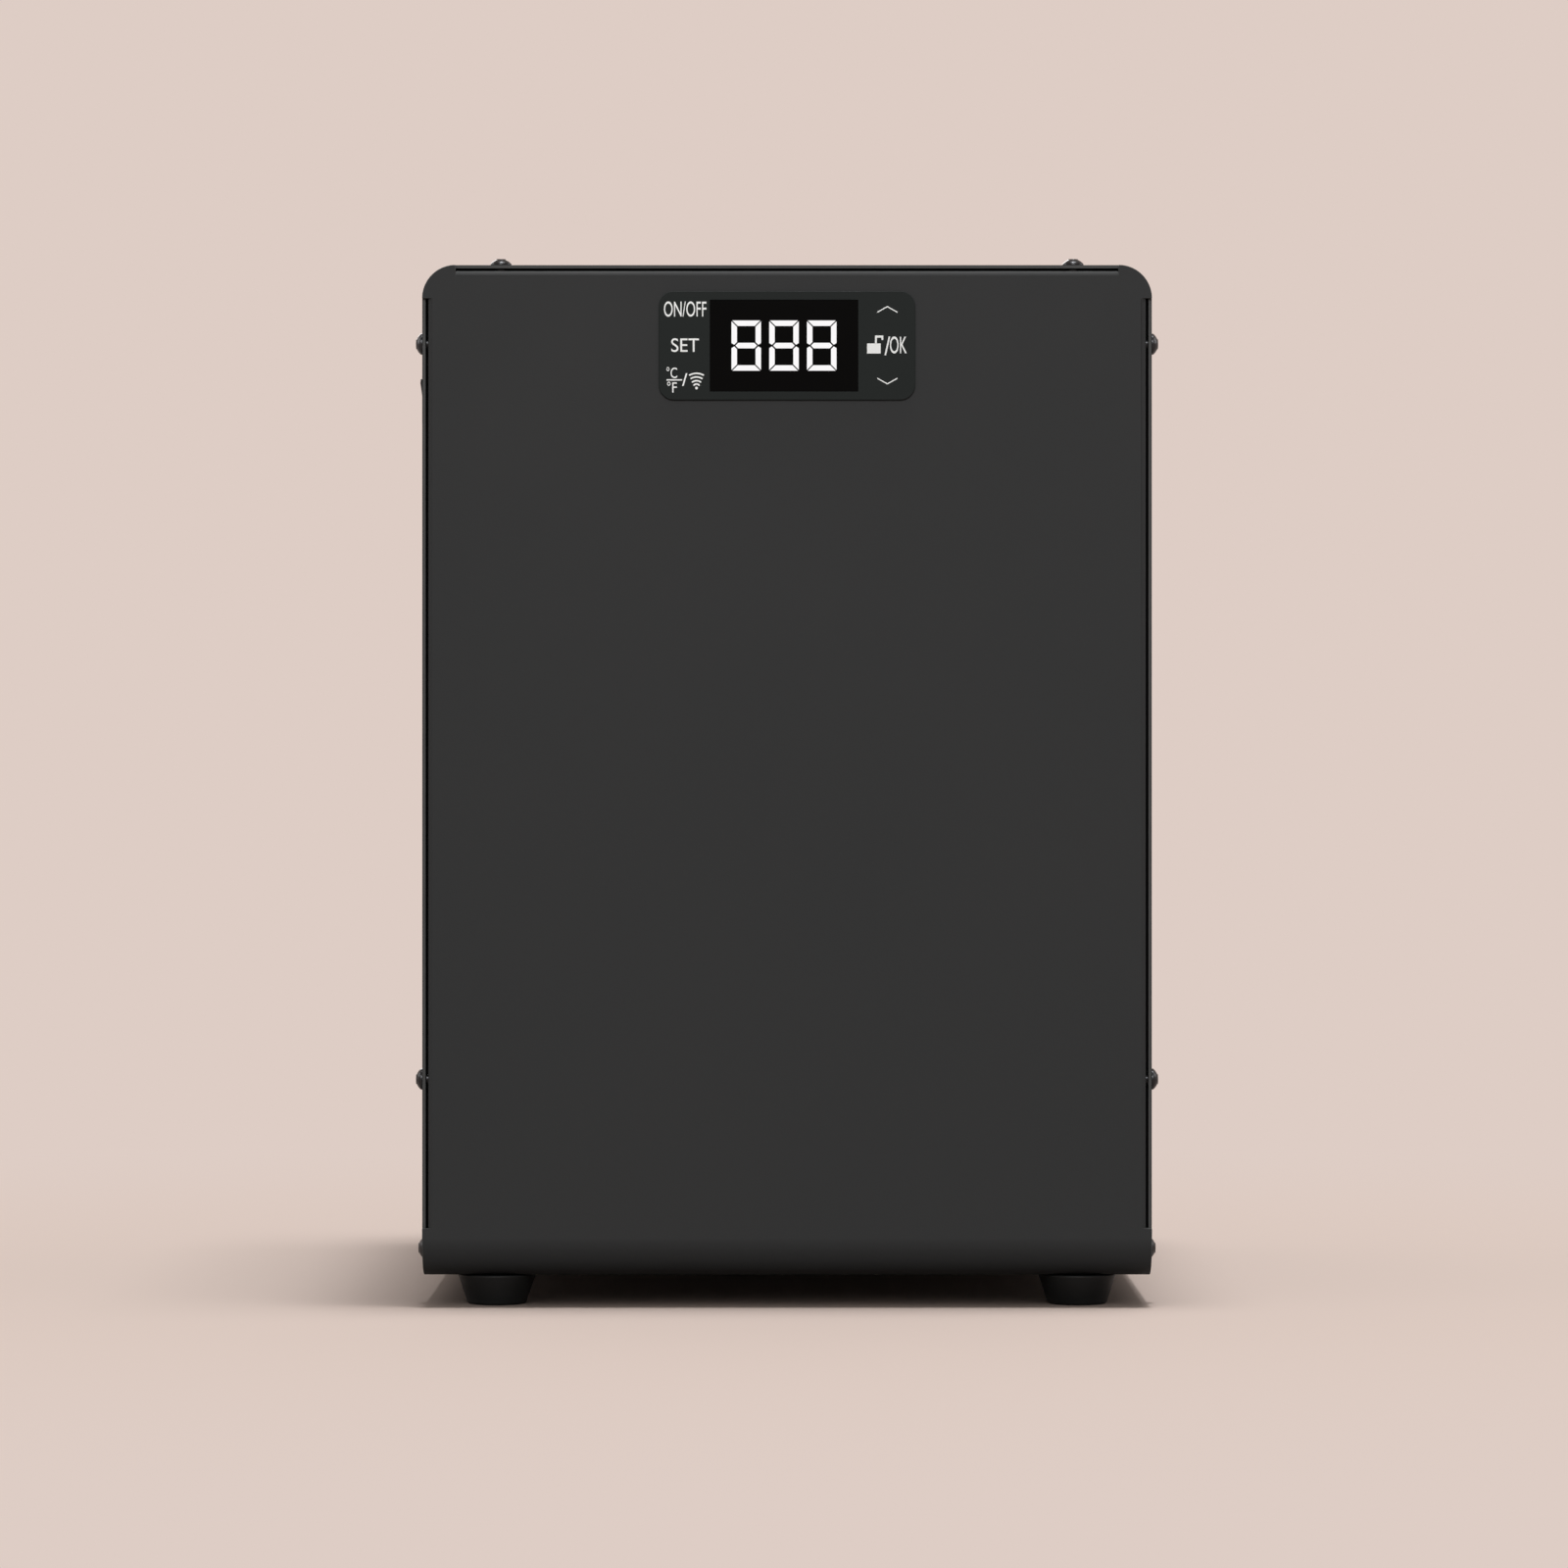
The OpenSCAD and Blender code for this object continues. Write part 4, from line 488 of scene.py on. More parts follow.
def in_edit_mode(piece, *steps):
    only(piece)
    bpy.ops.object.mode_set(mode="EDIT")
    bpy.ops.mesh.select_all(action="SELECT")
    for step in steps:
        step()
    bpy.ops.object.mode_set(mode="OBJECT")


def settle():
    bpy.ops.object.transform_apply(location=True, rotation=True, scale=True)


def facing_out():
    bpy.ops.mesh.normals_make_consistent(inside=False)


print("edit helpers ready")

# %% [markdown]
# Every finished piece is named and tied to the body it moves with, and the part of the
# frame it stands in for is hidden. Flat faces keep their own shading, and only round ones
# blend. Most pieces get their edges from a Bevel modifier.

# %% Finish, smooth and round
def finish_piece(piece, name, body, slot, *replaced):
    piece.name = name
    piece.data.name = name
    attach(piece, body)
    if replaced:
        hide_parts(*replaced)
    return piece


def apply_modifier(piece, made):
    only(piece)
    bpy.ops.object.modifier_apply(modifier=made.name)


def smooth_round_parts(piece, angle=30):
    only(piece)
    bpy.ops.object.shade_smooth_by_angle(angle=math.radians(angle))
    flats = piece.modifiers.new("flats_stay_flat", "WEIGHTED_NORMAL")
    flats.keep_sharp = True
    apply_modifier(piece, flats)


def round_edges(piece, width, angle, segments=1):
    bevel = piece.modifiers.new("round_edges", "BEVEL")
    bevel.width = width * MM
    bevel.segments = segments
    bevel.limit_method = "ANGLE"
    bevel.angle_limit = math.radians(angle)
    apply_modifier(piece, bevel)


def cut_away(piece, tool):
    cut = piece.modifiers.new("cut_away", "BOOLEAN")
    cut.operation = "DIFFERENCE"
    cut.object = tool
    apply_modifier(piece, cut)
    bpy.data.objects.remove(tool)


print("finishing helpers ready")

# %% [markdown]
# Each folded part is copied and its loose triangles are joined, so that flat areas are
# single faces again. Then a bevel in two steps rounds the edges that stand outwards. Edge
# weights pick them, because a bevel that also ran into the inner corners at the ends of
# the narrow slots would fold over itself. The bevel's faces wear the lighter edge finish,
# a painted highlight.

# %% Soften a part's edges
MERGE_WITHIN, FLAT_WITHIN = 0.002 * MM, math.radians(0.6)


def weigh_outer_edges(piece, angle):
    mesh = bmesh.new()
    mesh.from_mesh(piece.data)
    weight = mesh.edges.layers.float.new("bevel_weight_edge")
    for edge in mesh.edges:
        if len(edge.link_faces) == 2 and edge.is_convex:
            edge[weight] = float(edge.calc_face_angle() > math.radians(angle))
    mesh.to_mesh(piece.data)
    mesh.free()


def softened(node, name, width, skin, edge, body="cabinet", slot="sheet", angle=35):
    piece = bpy.data.objects.new(name, nodes[node].data.copy())
    scene.collection.objects.link(piece)
    in_edit_mode(
        piece,
        lambda: bpy.ops.mesh.remove_doubles(threshold=MERGE_WITHIN),
        lambda: bpy.ops.mesh.dissolve_limited(angle_limit=FLAT_WITHIN))
    piece.data.materials.clear()
    for finish in (skin, edge) if edge is not skin else (skin,):
        piece.data.materials.append(finish)
    weigh_outer_edges(piece, angle)
    bevel = piece.modifiers.new("soft_edge", "BEVEL")
    bevel.width = width * MM
    bevel.segments = 2
    bevel.limit_method = "WEIGHT"
    bevel.use_clamp_overlap = False
    # the bevel's faces take the second finish where there is one: the lighter edge finish, a
    # painted highlight
    bevel.material = 1 if edge is not skin else -1
    apply_modifier(piece, bevel)
    smooth_round_parts(piece)
    finish_piece(piece, name, body, slot, node)
    print(name, len(piece.data.polygons), "faces")
    return piece


# the sheets' outer edges wear the lighter edge finish, a painted highlight
softened("front_base_panel", "front_and_base_sheet", 0.22, sheet_coat, painted_highlight_coat)
cover = softened("cover_shell", "cover_sheet", 0.22, sheet_coat, painted_highlight_coat)
softened("rear_panel", "rear_sheet", 0.2, sheet_coat, painted_highlight_coat)

# %% [markdown]
# The cover's cut edge stands flush round the front sheet. Its faces that look straight
# forward wear the lighter edge finish, a painted highlight that shows as a thin lighter
# line, and the rounding beside them wears the coat.

# %% The cover's front rim
STRAIGHT_FORWARD, RIM_DEPTH = -0.99, 0.3 * MM
cover_front = min(v.co.y for v in cover.data.vertices)
rim = [face for face in cover.data.polygons if face.center.y < cover_front + RIM_DEPTH]
for face in rim:
    # faces looking straight forward take the lighter edge finish, a painted highlight
    face.material_index = 1 if face.normal.y < STRAIGHT_FORWARD else 0
print(len(rim), "faces in the cover's rim")

# %% [markdown]
# ## Turned parts
# Screws and feet are round about one axis. A circle is extruded ring by ring up the
# profile, as a lathe would cut it, so every edge can have its own rounding. A closed
# profile, such as the foot's, runs back to its first ring and is merged there.

# %% Extrude a circle through a profile
SEAM_WITHIN = 0.0005 * MM


def turned(name, rings, sides, closed=False):
    nothing_selected()
    radius, height = rings[0]
    bpy.ops.mesh.primitive_circle_add(
        vertices=sides, radius=radius * MM, fill_type="NOTHING" if closed else "NGON",
        location=(0, 0, height * MM))
    piece = bpy.context.object
    piece.name = name
    settle()
    bpy.ops.object.mode_set(mode="EDIT")
    bpy.ops.mesh.select_all(action="SELECT")
    for next_radius, next_height in rings[1:]:
        if closed:
            bpy.ops.mesh.extrude_edges_move()
        else:
            bpy.ops.mesh.extrude_region_move()
        grow = next_radius / radius
        bpy.ops.transform.resize(value=(grow, grow, 1), center_override=(0, 0, 0))
        bpy.ops.transform.translate(value=(0, 0, (next_height - height) * MM))
        radius, height = next_radius, next_height
    bpy.ops.mesh.select_all(action="SELECT")
    bpy.ops.mesh.remove_doubles(threshold=SEAM_WITHIN)
    facing_out()
    bpy.ops.object.mode_set(mode="OBJECT")
    return piece


def arc(cx, cz, r, start, end, steps):
    return [(cx + r * math.cos(math.radians(start + (end - start) * i / steps)),
             cz + r * math.sin(math.radians(start + (end - start) * i / steps)))
            for i in range(steps + 1)]


print("arc of", len(arc(0, 0, 1, 0, 90, 4)), "points")

# %% [markdown]
# ### Button-head screws
# The dome is a slice of a sphere above a short rim, with a six-sided key socket. The
# socket is cut with a Boolean, and a narrow bevel breaks its edge. One screw is modelled
# and copied to every place, with shanks as long as each place needs.

# %% One button-head screw
FRONT_FACE = -137.6
HEAD_R, HEAD_H, RIM_H, SHANK_R = 3.5, 2.4, 0.7, 1.95
DOME_R = (HEAD_R ** 2 + (HEAD_H - RIM_H) ** 2) / (2 * (HEAD_H - RIM_H))
DOME_ENDS, SHANK_TIP = 68, 0.4
KEY_R, KEY_LENGTH, KEY_MIDDLE, KEY_EDGE = 1.44, 3, HEAD_H + 0.2, 0.09


def at(x, depth, z):
    return Vector((x, depth + FRONT_FACE, z)) * MM


def button_screw(length):
    shank = [(SHANK_R - SHANK_TIP, -length), (SHANK_R, SHANK_TIP - length), (SHANK_R, -0.02)]
    rim = [(HEAD_R - 0.14, 0.0), (HEAD_R - 0.04, 0.05), (HEAD_R, 0.15), (HEAD_R, RIM_H - 0.08)]
    dome_starts = math.degrees(math.atan2(RIM_H + DOME_R - HEAD_H, HEAD_R)) + 1.5
    dome = arc(0, HEAD_H - DOME_R, DOME_R, dome_starts, DOME_ENDS, 9)
    flat = [(1.72, HEAD_H - 0.14), (1.6, HEAD_H - 0.145)]
    screw = turned("screw", shank + rim + dome + flat, sides=36)
    nothing_selected()
    bpy.ops.mesh.primitive_cylinder_add(
        vertices=6, radius=KEY_R * MM, depth=KEY_LENGTH * MM, location=(0, 0, KEY_MIDDLE * MM))
    cut_away(screw, bpy.context.object)
    round_edges(screw, KEY_EDGE, angle=50)
    smooth_round_parts(screw, 35)
    screw.data.materials.append(screw_black)
    return screw


print("dome radius", round(DOME_R, 3), "mm")

# %% [markdown]
# Screws hold the cover along its top and sides, the vent plate on the back and the feet
# below. Each place is a point on the surface, with its depth counted back from the front
# face, and the way the head looks. Copies are turned that way and joined into one piece.

# %% Screws in their places
BESIDE_FOLD, COVER_TOP, COVER_SIDE = 94.3, 343, 120
NEAR_FRONT, NEAR_BACK, HIGH_ON_SIDE, LOW_ON_SIDE = 6, 262, 317.3, 75
FOOT_X, FOOT_DEPTHS, BASE_UNDERSIDE, BASE_FLANGE = 96.3, (19, 249), 5, 18.4
VENT_X, VENT_DEPTH, VENT_Z = 33.3, 269.6, 225


def place_copies(model, places):
    copies = []
    for point, direction in places:
        copy = bpy.data.objects.new("copy", model.data.copy())
        scene.collection.objects.link(copy)
        copy.rotation_mode = "QUATERNION"
        copy.rotation_quaternion = Vector(direction).to_track_quat("Z", "Y")
        copy.location = point
        copies.append(copy)
    return copies


def join(pieces):
    nothing_selected()
    for piece in pieces:
        piece.select_set(True)
    bpy.context.view_layer.objects.active = pieces[0]
    settle()
    bpy.ops.object.join()
    return bpy.context.object


def foot_places(z, way):
    return [(at(x, depth, z), way) for x in (-FOOT_X, FOOT_X) for depth in FOOT_DEPTHS]


cover_places = [(at(x, depth, COVER_TOP), (0, 0, 1))
                for x in (-BESIDE_FOLD, BESIDE_FOLD) for depth in (NEAR_FRONT, NEAR_BACK)]
side_places = [(depth, z) for depth in (NEAR_FRONT, NEAR_BACK)
               for z in (HIGH_ON_SIDE, LOW_ON_SIDE)]
side_places += [(depth, BASE_FLANGE) for depth in FOOT_DEPTHS]
for side in (-1, 1):
    cover_places += [(at(side * COVER_SIDE, depth, z), (side, 0, 0)) for depth, z in side_places]
vent_places = [(at(x, VENT_DEPTH, VENT_Z), (0, 1, 0)) for x in (-VENT_X, VENT_X)]
screws = []
for length, places in (
        (9, cover_places), (6, vent_places), (11, foot_places(BASE_UNDERSIDE, (0, 0, -1)))):
    model = button_screw(length)
    screws += place_copies(model, places)
    bpy.data.objects.remove(model)
black_screws = finish_piece(
    join(screws), "black_button_screws", "cabinet", "black_screw", "button_screws")
print(len(screws), "screws,", len(black_screws.data.polygons), "faces")

# %% [markdown]
# ### Rubber feet
# A moulded foot tapers to the floor, has a small rounding where it stands, and a pocket
# underneath for its screw's head.

# %% Feet
screw_pocket = [(2.4, 9.95), (2.4, 5.0), (5.1, 5.0), (5.2, 4.9), (5.2, 0.3), (5.5, 0.0)]
floor_edge = arc(8.9, 1.2, 1.2, -90, -14, 6)
tapered_side = [(10.16, 1.5), (12.83, 9.4)]
top_edge = arc(12.55, 9.65, 0.35, -15, 90, 4)
top_face = [(2.6, 10.0), (2.4, 9.95)]
foot_rings = screw_pocket + floor_edge + tapered_side + top_edge + top_face
foot = turned("foot", foot_rings, sides=64, closed=True)
smooth_round_parts(foot, 40)
foot.data.materials.append(foot_rubber)
feet = place_copies(foot, foot_places(0, (0, 0, 1)))
bpy.data.objects.remove(foot)
rubber_feet = finish_piece(join(feet), "moulded_feet", "cabinet", "rubber", "rubber_feet")
print(len(rubber_feet.data.polygons), "faces in the feet")

# %% [markdown]
# ## The touch panel
# The panel is a thin plate of printed film with round corners and a window for the
# display, and the prints stand one coat of ink before it. A plane gets its corners by a
# vertex bevel, its thickness by an extrude, a fine rounding by an edge bevel, and its
# window by a Boolean with a stretched cube.

# %% Panel plate
PANEL_Z, PANEL_WIDTH, PANEL_HEIGHT, PANEL_CORNER, PANEL_EDGE = 316.35, 84.3, 35.7, 5, 0.15
PANEL_T, PRINT_T = 0.8 * MM, 0.04 * MM
PANEL_FRONT = FRONT_FACE * MM - PANEL_T
WINDOW_X, WINDOW_WIDTH, WINDOW_HEIGHT, WINDOW_CUT = -1.0, 48.8, 30.2, 200

nothing_selected()
bpy.ops.mesh.primitive_plane_add(
    size=1, rotation=(math.radians(90), 0, 0), location=(0, FRONT_FACE * MM, PANEL_Z * MM))
plate = bpy.context.object
plate.scale = (PANEL_WIDTH * MM, PANEL_HEIGHT * MM, 1)
settle()
in_edit_mode(
    plate,
    lambda: bpy.ops.mesh.bevel(offset=PANEL_CORNER * MM, segments=10, affect="VERTICES"),
    lambda: bpy.ops.mesh.extrude_region_move(
        TRANSFORM_OT_translate={"value": (0, PRINT_T - PANEL_T, 0)}))
in_edit_mode(plate, facing_out)
round_edges(plate, PANEL_EDGE, angle=40, segments=3)
nothing_selected()
bpy.ops.mesh.primitive_cube_add(
    size=1, location=(WINDOW_X * MM, -WINDOW_CUT / 2 * MM, PANEL_Z * MM))
tool = bpy.context.object
tool.scale = (WINDOW_WIDTH * MM, WINDOW_CUT * MM, WINDOW_HEIGHT * MM)
cut_away(plate, tool)
smooth_round_parts(plate)
plate.data.materials.append(panel_film)
finish_piece(plate, "printed_touch_plate", "cabinet", "panel", "touch_panel")
print(len(plate.data.polygons), "faces in the panel")

# %% [markdown]
# ### Printed legends
# White legends are silk-screened on the film: words, arrows, a padlock and wave arcs.
# Words start as text and icons as flat curves. Both become meshes, are fitted to their
# place and stand as thin as a coat of ink.

# %% Print flat shapes and words
LETTER_SIZE, WAVE_STEPS = 5 * MM, 14


def onto_panel(piece, fit=None):
    only(piece)
    bpy.ops.object.convert(target="MESH")
    piece = bpy.context.object
    piece.rotation_euler = (math.radians(90), 0, 0)
    settle()
    low, high = (Vector(end(v.co[i] for v in piece.data.vertices) for i in range(3))
                 for end in (min, max))
    piece.location.y = PANEL_FRONT - low.y
    if fit:
        left, right, bottom, top = (value * MM for value in fit)
        piece.scale = ((right - left) / (high.x - low.x), 1, (top - bottom) / (high.z - low.z))
        piece.location.x = left - low.x * piece.scale.x
        piece.location.z = bottom - low.z * piece.scale.z
    settle()
    piece.data.materials.clear()
    piece.data.materials.append(white_print)
    return piece


def word(text, left, right, bottom, top, weight):
    nothing_selected()
    bpy.ops.object.text_add()
    made = bpy.context.object
    made.data.body = text
    made.data.size = LETTER_SIZE
    made.data.extrude = PRINT_T / 2
    made.data.offset = weight * MM
    return onto_panel(made, (left, right, bottom, top))


def shape(outlines):
    curve = bpy.data.curves.new("shape", "CURVE")
    curve.dimensions = "2D"
    curve.fill_mode = "BOTH"
    curve.extrude = PRINT_T / 2
    for outline in outlines:
        spline = curve.splines.new("POLY")
        spline.points.add(len(outline) - 1)
        for point, (x, z) in zip(spline.points, outline):
            point.co = (x * MM, z * MM, 0, 1)
        spline.use_cyclic_u = True
    made = bpy.data.objects.new("shape", curve)
    scene.collection.objects.link(made)
    return onto_panel(made)


def box_outline(left, right, bottom, top):
    return [(left, bottom), (right, bottom), (right, top), (left, top)]


def wave(cx, cz, r, half, line):
    return (arc(cx, cz, r + line / 2, 90 - half, 90 + half, WAVE_STEPS)
            + arc(cx, cz, r - line / 2, 90 + half, 90 - half, WAVE_STEPS))


print("print helpers ready")

# %% [markdown]
# The legends are a table: each name has its words and shapes, with their places in
# millimetres across and up. Words give left, right, bottom, top and how much bolder their
# strokes are. Arrows are one outline, turned over for down.

# %% The legends
CHEVRON = [(-3.31, -1.1), (0, 0.75), (3.31, -1.1), (3.31, -0.7), (0, 1.15), (-3.31, -0.7)]
ARROW_X, WAVE_X, WAVE_Z, WAVE_LINE = 32.95, -29.75, 302.55, 0.5
WAVES = ((1.16, 56), (2.26, 41), (3.48, 34), (4.68, 31))
BOLD, BOLD_SMALL = 0.012, 0.01
LEGENDS = {
    "legend_on_off": [word("ON/OFF", -40.45, -26.5, 325.85, 330.85, BOLD)],
    "legend_set": [word("SET", -38.05, -28.95, 314.25, 318.75, BOLD)],
    "legend_degrees": [
        word("°C", -39.6, -36.1, 305.65, 309.3, BOLD_SMALL),
        word("°F", -39.4, -36.2, 300.9, 304.5, BOLD_SMALL),
        shape([box_outline(-39.6, -34.45, 304.85, 305.28)]),
        shape([[(-34.5, 303.1), (-33.98, 303.1), (-32.75, 307.25), (-33.27, 307.25)]])],
    "legend_waves": [
        shape([wave(WAVE_X, WAVE_Z, r, half, WAVE_LINE)]) for r, half in WAVES] + [
        shape([arc(WAVE_X, WAVE_Z - 0.15, 0.45, 0, 345, 23)])],
    "legend_up": [shape([[(ARROW_X + x, 328.2 + z) for x, z in CHEVRON]])],
    "legend_down": [shape([[(ARROW_X + x, 304.72 - z) for x, z in CHEVRON]])],
    "legend_lock_ok": [
        shape([box_outline(26.3, 30.75, 313.75, 317.05)]),
        shape([[(28.9, 317.0), (28.9, 319.65), (31.6, 319.65), (31.6, 318.2), (31.02, 318.2),
                (31.02, 318.95), (29.52, 318.95), (29.52, 317.0)]]),
        shape([[(32.0, 313.15), (32.52, 313.15), (33.9, 319.3), (33.38, 319.3)]]),
        word("OK", 33.8, 39.35, 313.75, 319.35, BOLD)],
}
for name, parts in LEGENDS.items():
    finish_piece(join(parts), name, "cabinet", "panel")
print(len(LEGENDS), "legends printed")

# %% [markdown]
# ## Plastics, sleeves and hinges
# Moulded and pressed parts get the same rounding, each as wide in millimetres as its
# process leaves it: a moulding's edges are rounder than a cut sheet's, and a roller's are
# rounder still. The frame's record says which body carries each part and which slot it
# fills.

# %% Soften the smaller parts
bodies = frame["record"]["behaviour"]["bodies"]
body_of = {node: body for body, held in bodies.items() for node in held}
slot_of = {row["node"]: row["material_slot"] for row in frame["record"]["subparts"]}
# The third column is the edge finish. The lighter sheet and plastic edge finishes are a painted
# highlight.
SOFT_PARTS = [
    (0.2, sheet_coat, painted_highlight_coat, "vent_shutter lid_frame"),
    (0.3, black_plastic, painted_highlight_plastic, "lid_pull_cup mains_inlet fuse_drawer desiccant_drawer "
                                       "filament_outlets switch_housing fan_frame"),
    (0.35, black_plastic, painted_highlight_plastic, "chamber_rim axle_brackets"),
    (0.25, display_glass, painted_highlight_plastic, "switch_rocker"),
    (0.4, grey_plastic, grey_plastic, "spool_roller_1 spool_roller_2 spool_roller_3 spool_roller_4 "
                                      "spool_roller_5 spool_roller_6"),
    (0.12, screw_black, screw_black, "hinge_fixed_leaves hinge_moving_leaves"),
    (0.25, smoked_window, smoked_window, "lid_window"),
    (0.15, mill_aluminium, mill_aluminium, "chamber_tub chamber_rear_wall"),
]
for width, skin, edge, names in SOFT_PARTS:
    for node in names.split():
        softened(node, node + "_finished", width, skin, edge, body_of[node], slot_of[node])

# %% [markdown]
# ## Soft parts inside
# The lid seals on a sponge strip with a rounded back, and foam slabs keep the heat in. A
# wide bevel turns their square sections into the rounded ones that sponge has, and the
# pebbled skin group gives them open cells.

# %% Seal and insulation
softened("lid_gasket", "lid_seal_strip", 0.75, seal_rubber, seal_rubber, "cabinet",
         slot_of["lid_gasket"])
slabs = softened("insulation_slabs", "foam_slabs", 1.6, foam, foam, "cabinet",
                 slot_of["insulation_slabs"])
print("slabs", [round(v / MM, 1) for v in slabs.dimensions], "mm")

# %% [markdown]
# ### Drying beads
# The drawer holds silica gel in beads. One small ball of a few dozen faces is copied in
# staggered layers, each copy moved a little by a seeded dice throw, so that the top looks
# poured. Only the two layers that can be seen are single beads.

# %% Pour the beads
dice = random.Random(7)
BEAD_R, PITCH, FIRST_GAP, LAST_GAP, TOP_GAP = 2.35, 4.55, 0.45, 0.3, 0.35
LAYERS, ROWS, COLUMNS = 2, 24, 10
ROW_STEP, COLUMN_STEP = PITCH * 0.985, PITCH * 0.96
STAGGER, LAYER_DROP = PITCH * 0.45, PITCH * 0.8
ASIDE, UP_DOWN, SMALLEST, LARGEST, ANY_TURN = 0.25, 0.3, 0.9, 1.02, 6.28
bed_low, bed_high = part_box("desiccant_bed")
nothing_selected()
bpy.ops.mesh.primitive_ico_sphere_add(subdivisions=2, radius=BEAD_R * MM, location=(0, 0, 0))
bead = bpy.context.object
only(bead)
bpy.ops.object.shade_smooth()
bead.data.materials.append(bead_gel)
beads = []
first_x, first_y = (side / MM + BEAD_R + FIRST_GAP for side in bed_low.xy)
last_x, last_y = (side / MM - BEAD_R - LAST_GAP for side in bed_high.xy)
top_z = bed_high.z / MM - BEAD_R - TOP_GAP
for layer in range(LAYERS):
    shift_x, shift_y = 0.45 * PITCH * layer, 0.3 * PITCH * layer
    for row in range(ROWS):
        for column in range(COLUMNS):
            x = first_x + shift_x + column * COLUMN_STEP + (row % 2) * STAGGER
            y = first_y + shift_y + row * ROW_STEP
            if x > last_x or y > last_y:
                continue
            copy = bpy.data.objects.new("bead", bead.data.copy())
            scene.collection.objects.link(copy)
            copy.location = Vector((
                x + dice.uniform(-ASIDE, ASIDE), y + dice.uniform(-ASIDE, ASIDE),
                top_z - layer * LAYER_DROP + dice.uniform(-UP_DOWN, UP_DOWN))) * MM
            size = dice.uniform(SMALLEST, LARGEST)
            copy.scale = (size, size, size)
            copy.rotation_euler = [dice.uniform(0, ANY_TURN) for _ in range(3)]
            beads.append(copy)
bpy.data.objects.remove(bead)
poured = join(beads)
print(len(beads), "beads,", len(poured.data.polygons), "faces")

# %% [markdown]
# The beads further down are never seen one by one, so one block stands for them. Its top
# is a fine grid, raised and lowered by crossed sine waves that repeat once per bead.

# %% Bed below the beads
WAVE_RATE, WAVE_HEIGHT, CLEAR_BELOW = 1.37, 1.1, 1.2
nothing_selected()
bed_top = (top_z - LAYER_DROP) * MM
bpy.ops.mesh.primitive_grid_add(x_subdivisions=36, y_subdivisions=80, size=1, location=(0, 0, 0))
bed = bpy.context.object
bed.scale = (bed_high.x - bed_low.x, bed_high.y - bed_low.y, 1)
bed.location = ((bed_low.x + bed_high.x) / 2, (bed_low.y + bed_high.y) / 2, bed_top)
settle()
for vertex in bed.data.vertices:
    across, along = (math.sin(value / MM * WAVE_RATE) for value in vertex.co.xy)
    vertex.co.z += WAVE_HEIGHT * MM * across * along
in_edit_mode(
    bed,
    lambda: bpy.ops.mesh.extrude_region_move(
        TRANSFORM_OT_translate={"value": (0, 0, bed_low.z - bed_top + CLEAR_BELOW * MM)}))
in_edit_mode(bed, facing_out)
bed.data.materials.append(bead_gel)
smooth_round_parts(bed, 50)
desiccant = finish_piece(
    join([poured, bed]), "poured_drying_beads", "drawer", slot_of["desiccant_bed"],
    "desiccant_bed")
print(len(desiccant.data.polygons), "faces in the drying agent")

# %% [markdown]
# ### Marks on the power switch
# A rocker switch carries a line for on and a ring for off. Both are printed on the
# rocker's two slopes, so they tip with it. The slopes are the two largest flats that look
# out of the cabinet's side, and each mark is laid on one along its normal.

# %% Find the slopes and stamp a mark
LOOKS_OUT = -0.9


def slopes_of(node):
    found = {}
    for face in nodes[node].data.polygons:
        if face.normal.x < LOOKS_OUT:
            key = tuple(round(v, 2) for v in face.normal)
            found.setdefault(key, []).append(face)
    pairs = []
    for faces in found.values():
        area = sum(f.area for f in faces)
        centre = sum((f.center * f.area for f in faces), Vector()) / area
        pairs.append((centre, faces[0].normal.copy(), area))
    return sorted(sorted(pairs, key=lambda pair: -pair[2])[:2], key=lambda pair: -pair[0].z)


def stamp(mark, name, centre, normal):
    in_edit_mode(
        mark,
        lambda: bpy.ops.mesh.extrude_region_move(
            TRANSFORM_OT_translate={"value": (0, 0, PRINT_T)}))
    in_edit_mode(mark, facing_out)
    mark.rotation_mode = "QUATERNION"
    mark.rotation_quaternion = normal.to_track_quat("Z", "Y")
    mark.location = centre
    only(mark)
    settle()
    mark.data.materials.append(white_print)
    return finish_piece(mark, name, "rocker", slot_of["switch_rocker"])


upper, lower = slopes_of("switch_rocker")
print("slopes at", [round(v / MM, 2) for v in (*upper[0], *lower[0])], "mm")

# %% [markdown]
# The line starts as a plane. The ring starts as a disc, whose middle is inset and
# deleted. Both then get the thickness of a coat of ink.

# %% Print the switch marks
LINE_WIDTH, LINE_LENGTH, RING_R, RING_LINE = 0.45, 2.4, 1.2, 0.42
nothing_selected()
bpy.ops.mesh.primitive_plane_add(size=1)
line = bpy.context.object
line.scale = (LINE_WIDTH * MM, LINE_LENGTH * MM, 1)
settle()
stamp(line, "switch_mark_on", upper[0], upper[1])
nothing_selected()
bpy.ops.mesh.primitive_circle_add(vertices=32, radius=RING_R * MM, fill_type="NGON")
ring = bpy.context.object
in_edit_mode(
    ring,
    lambda: bpy.ops.mesh.inset(thickness=RING_LINE * MM),
    lambda: bpy.ops.mesh.delete(type="FACE"))
stamp(ring, "switch_mark_off", lower[0], lower[1])
print(len(line.data.polygons), "and", len(ring.data.polygons), "faces in the marks")

# %% [markdown]
# ## Floor, backdrop and light
# The floor runs into a backdrop of the same colour, so no horizon shows. Near the cabinet
# it takes real light and shadow, and further out it fades to the plain backdrop colour,
# which only the camera, mirror-like surfaces and clear ones see. Diffuse rays meet a
# darker floor, because a full bounce would light the cabinet's underside and lower bend
# too much.

